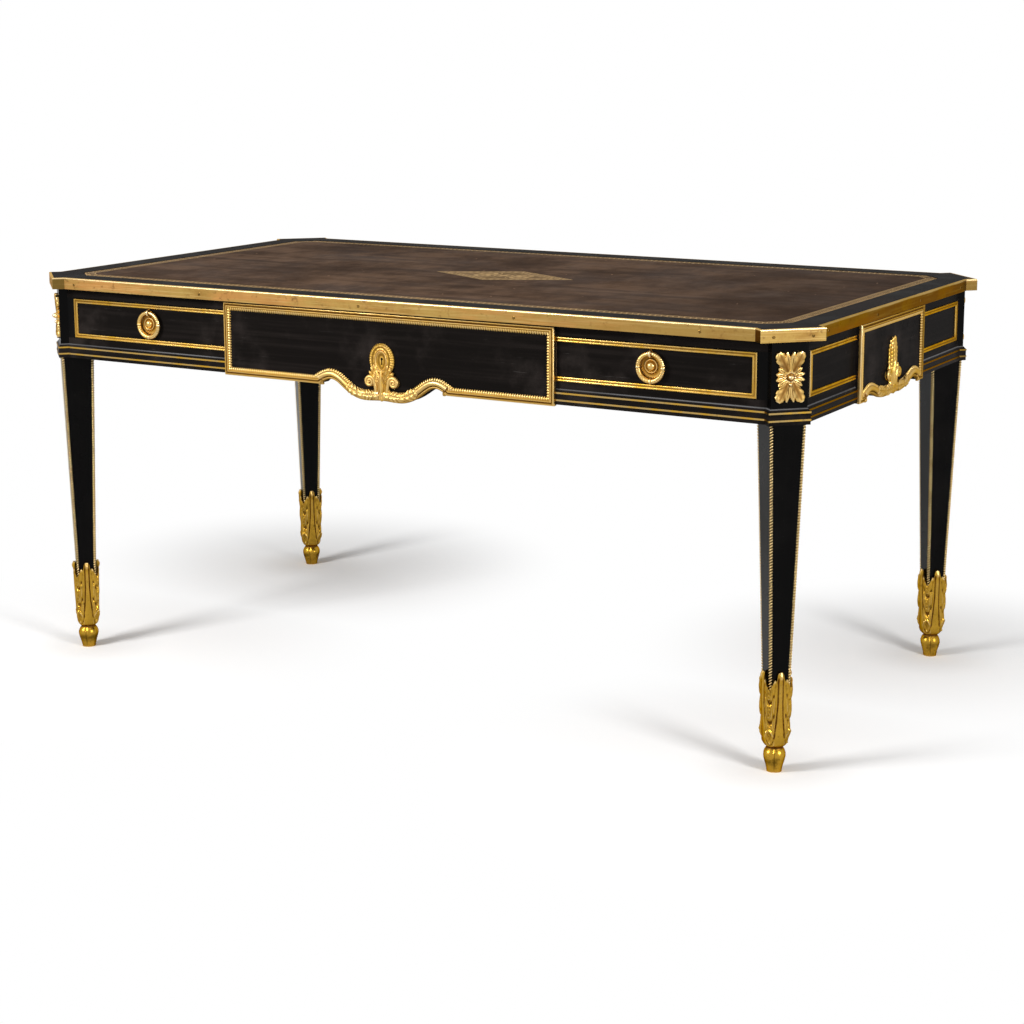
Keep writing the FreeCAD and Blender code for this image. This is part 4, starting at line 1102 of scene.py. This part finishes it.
class DESK_OT_writing_leather(bpy.types.Operator):
    """Tooled writing leather let into the top"""
    bl_idname = "desk.writing_leather"
    bl_label = "Writing leather"

    def execute(self, context):
        half, deep, cut = 769.0, 398.0, 36.0
        face, back, rows = 769.55, 768.05, 96
        inner = 1 - 2 / rows

        def shape(a, b):
            side = 2 * b - 1
            x = np.sign(a) * np.interp(np.abs(a), [0, inner, 1], [0, half - 3, half])
            y = np.sign(side) * np.interp(np.abs(side), [0, inner, 1], [0, deep - 3, deep])
            over = np.maximum(0, np.abs(x) - half + np.abs(y) - deep + cut) / 2
            x, y = x - np.sign(x) * over, y - np.sign(y) * over
            from_end, from_front = half - np.abs(x), deep - np.abs(y)
            from_cut = (from_end + from_front - cut) / math.sqrt(2)
            edge = np.minimum(np.minimum(from_end, from_front), from_cut)
            wave = 0.10 * np.sin(x / 61 + 2 * np.sin(y / 83)) + 0.08 * np.sin(y / 37 + np.sin(x / 120))
            return x, y, face + wave * np.minimum(1, edge / 20) - 0.8 * (edge < 1)

        sheet = flat_back(worked_grid("writing_leather_tooled", rows, rows, shape), back)
        look = context.scene.desk_finish
        finish = tooled_leather("tooled_leather", look, half * MM, deep * MM, cut * MM)
        finished(sheet, "carcass", finish, ["writing_leather"])
        return {"FINISHED"}


class DESK_OT_brass_edges(bpy.types.Operator):
    """Brass strips round the top, with their screws"""
    bl_idname = "desk.brass_edges"
    bl_label = "Brass edges"

    def execute(self, context):
        look = context.scene.desk_finish
        dress(edge_brass("edge_brass", look), "edge_strip_front", "edge_strip_back")
        dress(edge_brass("corner_brass", look, shaded_returns=True), "edge_strip_corners")
        # painted shade: the end strips take a darker copy of the brass
        dress(edge_brass("end_brass", look, 0.74), "edge_strip_left", "edge_strip_right")
        radius, level = 3.1, 757.0

        def head(a, b):
            side = 2 * b - 1
            x, y = radius * a * np.sqrt(1 - side ** 2 / 2), radius * side * np.sqrt(1 - a ** 2 / 2)
            rim = np.minimum(1, (radius - np.hypot(x, y)) / 0.5)
            return x, y, 0.45 * rim - 0.55 * (np.abs(side) < 0.12) * (np.abs(a) < 0.95)

        edge_x, edge_y = 822, 451
        cant_x, cant_y = 757, 467.5
        spots = [(x, way * edge_y, 0, way) for way in (-1, 1) for x in (-716, -405, -41, 285, 641)]
        spots += [(way * edge_x, y, way, 0) for way in (-1, 1) for y in (-335, -108, 113, 338)]
        for _, sx, sy in LEGS:
            spots += [(sx * (cant_x + along), sy * (cant_y - along), sx, sy) for along in (16.3, 65.2)]
        places = []
        for x, y, way_x, way_y in spots:
            slot_turn = Matrix.Rotation(1.7 * len(places), 4, "Z")
            places.append(standing((x, y, level), (way_x, way_y, 0)) @ slot_turn)
        screws = strewn("edge_screws", flat_back(worked_grid("screw", 16, 17, head), -0.6), places)
        dull = gilt("screw_brass", look.patina, scaled(look.patina, 0.5), look.brass,
                    scaled(look.patina, 0.15))
        finished(screws, "carcass", dull)
        return {"FINISHED"}


class DESK_OT_string_lines(bpy.types.Operator):
    """Gilt lines let into the foot of the frieze"""
    bl_idname = "desk.string_lines"
    bl_label = "String lines"

    def execute(self, context):
        look = context.scene.desk_finish

        # painted shade: the string lines on the ends of the desk are darkened
        def ends(where, blotch):
            post, soft = LEG_Y * MM, 0.002
            return ramp(aside(where[1]), post + soft, post - soft, 0.0, 0.75)

        plain = gilt("gilt_plain", scaled(look.gilding_pale, 0.72), look.gilding_deep, look.gilding_bright,
                     look.tarnish_and_shade, painted_shade_mask=ends, hollows=False)
        dress(plain, "string_lines")
        return {"FINISHED"}


class DESK_OT_leg_ropes(bpy.types.Operator):
    """Twisted gilt rope up each of the four edges of each leg"""
    bl_idname = "desk.leg_ropes"
    bl_label = "Leg ropes"

    def execute(self, context):
        tarnish_and_shade = context.scene.desk_finish.tarnish_and_shade
        gold = gilt("gilt_rope", (0.50, 0.36, 0.15), (0.40, 0.27, 0.09), (0.72, 0.56, 0.30), tarnish_and_shade)
        size = context.scene.desk_ornament
        pitch, half, deep = size.rope_pitch / MM, size.rope_width / MM / 2, 3.0
        low, high, sunk = 151.5, 607, 2.7
        for name, sx, sy in LEGS:
            clear_selection()
            bpy.ops.mesh.primitive_uv_sphere_add(segments=8, ring_count=6, radius=1)
            bead = bpy.context.active_object
            x, y, z = points(bead).T
            slant = np.stack((x * half, y * deep, z * pitch * 0.42 + x * pitch * 0.45), axis=1)
            move_points(bead, slant * MM)
            places = []
            for quarter in range(4):
                edge = at_leg(sx, sy) @ Matrix.Rotation(math.pi / 2 * quarter, 4, "Z")
                for height in np.arange(low, high, pitch):
                    reach = leg_width(height) / math.sqrt(2) - sunk
                    places.append(edge @ Matrix.Translation((0, -reach * MM, height * MM)))
            rope = strewn("leg_rope_" + name, bead, places)
            # painted shade between the beads and painted highlight along their crowns, through the hollows
            # marks
            ridges = np.tile(np.clip(0.95 - 2.2 * z ** 2, 0, 1), len(places))
            finished(rope, "carcass", gold, ["leg_rope_mouldings"], angle=60,
                     hollows=ridges)
        return {"FINISHED"}


class DESK_OT_sabots(bpy.types.Operator):
    """Gilt leaf cups and lobed feet at the ends of the legs"""
    bl_idname = "desk.sabots"
    bl_label = "Sabots"

    def execute(self, context):
        look = context.scene.desk_finish

        # tarnish and painted shade: a patchy dark band round the foot below its shoulder
        def waist(where, blotch):
            low = times(ramp(where[2], 0.008, 0.020), ramp(where[2], 0.031, 0.023))
            return times(low, ramp(blotch, 0.38, 0.60, 0.0, 0.85))

        # painted shade: the sabots take the deep gold, a darker copy of the gilding of the other mounts
        gold = gilt("gilt_sabot", look.gilding_deep, scaled(look.gilding_deep, 0.75), look.gilding_pale,
                    look.tarnish_and_shade, spotted=0.6, painted_shade_mask=waist)
        first = sabot_form()
        for name, sx, sy in LEGS:
            place = at_leg(sx, sy) @ Matrix.Rotation(math.pi / 4, 4, "Z")
            cup = copied(first, "sabot_gilt_" + name, place)
            finished(cup, "carcass", gold, ["sabot_" + name])
        put_away(first)
        return {"FINISHED"}


class DESK_OT_corner_mounts(bpy.types.Operator):
    """Acanthus sprays on the corner posts"""
    bl_idname = "desk.corner_mounts"
    bl_label = "Corner mounts"

    def execute(self, context):
        look = context.scene.desk_finish
        gold = gilt("gilt_mounts", look.gilding_pale, look.gilding, look.gilding_bright, look.tarnish_and_shade)
        first = corner_spray()
        level, off = 688.4, 32.3 / math.sqrt(2)
        for name, sx, sy in LEGS:
            place = standing((sx * (LEG_X + off), sy * (LEG_Y + off), level), (sx, sy, 0))
            spray = copied(first, "corner_spray_" + name, place)
            finished(spray, "carcass", gold, ["corner_mounts"], ground=place)
        put_away(first)
        return {"FINISHED"}


class DESK_OT_reeded_frames(bpy.types.Operator):
    """Two-reed gilt frames on the outer drawers and the fixed panels"""
    bl_idname = "desk.reeded_frames"
    bl_label = "Reeded frames"

    def execute(self, context):
        look = context.scene.desk_finish
        gold = gilt("gilt_reeds", look.gilding, look.gilding_deep, look.gilding_bright, look.hollow_gold)
        for name, x0, x1, open_side in (("left", -736.2, -358.3, 1), ("right", 358.3, 736.2, -1)):
            reeds = moved(reed_loop(x0, x1, open_side), on_face("front"))
            reeds.name = name + "_drawer_reeds"
            finished(reeds, name + "_drawer", gold, [name + "_drawer_frame"])
        for side, near, far in (("right", 166, 371.5), ("left", 166, 371.5), ("back", 358.5, 737)):
            pair = [reed_loop(near, far, -1), reed_loop(-far, -near, 1)]
            reeds = moved(joined("panel_reeds_" + side, pair), on_face(side))
            finished(reeds, "carcass", gold, ["panel_frames"])
        return {"FINISHED"}


class DESK_OT_block_frames(bpy.types.Operator):
    """Leafy gilt frames of the centre drawer and of the raised blocks"""
    bl_idname = "desk.block_frames"
    bl_label = "Block frames"

    def execute(self, context):
        look = context.scene.desk_finish
        gold = gilt("gilt_frames", look.gilding_pale, look.gilding, look.gilding_bright, look.hollow_gold,
                    matt=0.06, spotted=0.2)
        wide, narrow = block_frame(WIDE_BLOCK, WIDE_FOOT), block_frame(NARROW_BLOCK, NARROW_FOOT)
        for side, form, body, node_name in (("front", wide, "centre_drawer", "centre_drawer_frame"),
                                            ("back", wide, "carcass", "block_frames"),
                                            ("right", narrow, "carcass", "block_frames"),
                                            ("left", narrow, "carcass", "block_frames")):
            place = on_face(side, BLOCK_PROUD)
            piece = copied(form, "block_frame_" + side, place)
            finished(piece, body, gold, [node_name], ground=place)
        put_away(wide, narrow)
        return {"FINISHED"}


class DESK_OT_escutcheon(bpy.types.Operator):
    """Keyhole mount of the centre drawer"""
    bl_idname = "desk.escutcheon"
    bl_label = "Escutcheon"

    def execute(self, context):
        look = context.scene.desk_finish
        gold = gilt("gilt_escutcheon", look.gilding, look.gilding_deep, look.gilding_pale, look.hollow_gold,
                    matt=0.16, spotted=0.2)
        place = on_face("front", BLOCK_PROUD)
        piece = moved(escutcheon_form(WIDE_FOOT), place)
        piece.name = "escutcheon_gilt"
        finished(piece, "centre_drawer", gold, ["escutcheon"], ground=place)
        return {"FINISHED"}


class DESK_OT_leaf_mounts(bpy.types.Operator):
    """Upright acanthus leaves on the fixed blocks"""
    bl_idname = "desk.leaf_mounts"
    bl_label = "Leaf mounts"

    def execute(self, context):
        look = context.scene.desk_finish
        gold = gilt("gilt_leaves", look.gilding, look.gilding_deep, look.gilding_pale, look.tarnish_and_shade,
                    matt=0.04)
        short, tall = upright_leaf(NARROW_FOOT), upright_leaf(WIDE_FOOT)
        for side, form in (("right", short), ("left", short), ("back", tall)):
            place = on_face(side, BLOCK_PROUD)
            piece = copied(form, "leaf_mount_" + side, place)
            finished(piece, "carcass", gold, ["block_leaf_mounts"], ground=place)
        put_away(short, tall)
        return {"FINISHED"}


class DESK_OT_ring_pulls(bpy.types.Operator):
    """Rosettes with their eyes, and the rings that hang in them"""
    bl_idname = "desk.ring_pulls"
    bl_label = "Ring pulls"

    def execute(self, context):
        look = context.scene.desk_finish
        gold = gilt("gilt_pulls", look.gilding_pale, look.gilding, look.gilding_bright,
                    scaled(look.hollow_gold, 1.7))
        plate, ring = rosette_form(), ring_form()
        turn = np.radians(np.linspace(-150, 150, 20))
        loop = np.stack((np.cos(turn) * 5.5, np.sin(turn) * 5.5), axis=1)
        edge_on = Matrix(((0, 0, 1, 0), (-1, 0, 0, 0), (0, 1, 0, 0), (0, 0, 0, 1)))
        rosette_level, ring_level, eye_level = 689.6, 687.5, 711
        for name, x in (("left", -PULL_X), ("right", PULL_X)):
            rosette = copied(plate, name + "_rosette", on_face("front", 0, x, rosette_level))
            eye_spot = Vector((x, -FRIEZE_Y - BLOCK_PROUD, eye_level)) * MM
            eye = moved(rod(name + "_eye", loop, 1.45, 2.3), Matrix.Translation(eye_spot) @ edge_on)
            rosette = joined(name + "_rosette", [rosette, eye])
            finished(rosette, name + "_drawer", gold, [name + "_pull_rosette"])
            hoop = copied(ring, name + "_ring_gilt", on_face("front", BLOCK_PROUD, x, ring_level))
            finished(hoop, name + "_ring", gold, [name + "_pull_ring"])
        put_away(plate, ring)
        return {"FINISHED"}


class DESK_OT_stage(bpy.types.Operator):
    """Pale floor, soft boxes and the camera"""
    bl_idname = "desk.stage"
    bl_label = "Stage"

    def execute(self, context):
        look = context.scene.desk_stage
        clear_selection()
        bpy.ops.mesh.primitive_plane_add(size=60, location=(0, 0, 0))
        floor = bpy.context.active_object
        floor.name = "floor"
        floor.data.materials.append(studio_floor(look))
        context.scene.world = studio_world(look)

        for name, strength, size, spot, aim in (
                ("left_box", look.left_power, 0.9, (-1.5, -2.9, 1.9), (0.0, 0.0, 0.45)),
                ("right_box", look.right_power, 0.9, (3.9, -1.7, 1.8), (0.3, 0.0, 0.45)),
                ("top_box", look.top_power, 3.0, (0.0, -0.6, 3.4), (0.0, 0.0, 0.6))):
            bpy.ops.object.light_add(type="AREA", location=spot)
            lamp = bpy.context.active_object
            lamp.name = name
            lamp.data.energy = strength
            lamp.data.size = size
            lamp.rotation_euler = (Vector(aim) - Vector(spot)).to_track_quat("-Z", "Y").to_euler()

        bpy.ops.object.camera_add(location=(2.1401, -3.6396, 1.2556))
        camera = bpy.context.active_object
        camera.name = "camera"
        yaw, pitch, roll = math.radians(30.230), math.radians(11.126), math.radians(-0.195)
        level = math.cos(pitch)
        forward = Vector((-math.sin(yaw) * level, math.cos(yaw) * level, -math.sin(pitch)))
        turn = forward.to_track_quat("-Z", "Y").to_matrix() @ Matrix.Rotation(roll, 3, "Z")
        camera.rotation_euler = turn.to_euler()
        camera.data.sensor_width = 36.0
        camera.data.lens = look.lens
        camera.data.shift_x = -0.0007
        camera.data.shift_y = -0.0643
        context.scene.camera = camera
        context.scene.view_settings.view_transform = "Standard"
        return {"FINISHED"}


OPERATORS = (
    DESK_OT_ebonised_wood,
    DESK_OT_drawer_linings,
    DESK_OT_writing_leather,
    DESK_OT_brass_edges,
    DESK_OT_string_lines,
    DESK_OT_leg_ropes,
    DESK_OT_sabots,
    DESK_OT_corner_mounts,
    DESK_OT_reeded_frames,
    DESK_OT_block_frames,
    DESK_OT_escutcheon,
    DESK_OT_leaf_mounts,
    DESK_OT_ring_pulls,
    DESK_OT_stage,
)
STEPS = tuple(made.bl_idname for made in OPERATORS)


class DESK_PT_finish(bpy.types.Panel):
    """Sidebar list of the desk's pieces"""
    bl_idname = "DESK_PT_finish"
    bl_label = "Writing desk"
    bl_space_type = "VIEW_3D"
    bl_region_type = "UI"
    bl_category = "Desk"

    def draw(self, context):
        for step in STEPS:
            self.layout.operator(step)


CLASSES = (DeskFinish, DeskOrnament, DeskStage, *OPERATORS, DESK_PT_finish)


def register():
    for made in CLASSES:
        bpy.utils.register_class(made)
    bpy.types.Scene.desk_finish = PointerProperty(type=DeskFinish)
    bpy.types.Scene.desk_ornament = PointerProperty(type=DeskOrnament)
    bpy.types.Scene.desk_stage = PointerProperty(type=DeskStage)


def unregister():
    del bpy.types.Scene.desk_stage
    del bpy.types.Scene.desk_ornament
    del bpy.types.Scene.desk_finish
    for made in reversed(CLASSES):
        bpy.utils.unregister_class(made)


def main():
    register()
    for step in STEPS:
        group, name = step.split(".")
        getattr(getattr(bpy.ops, group), name)()


if __name__ == "__main__":
    main()
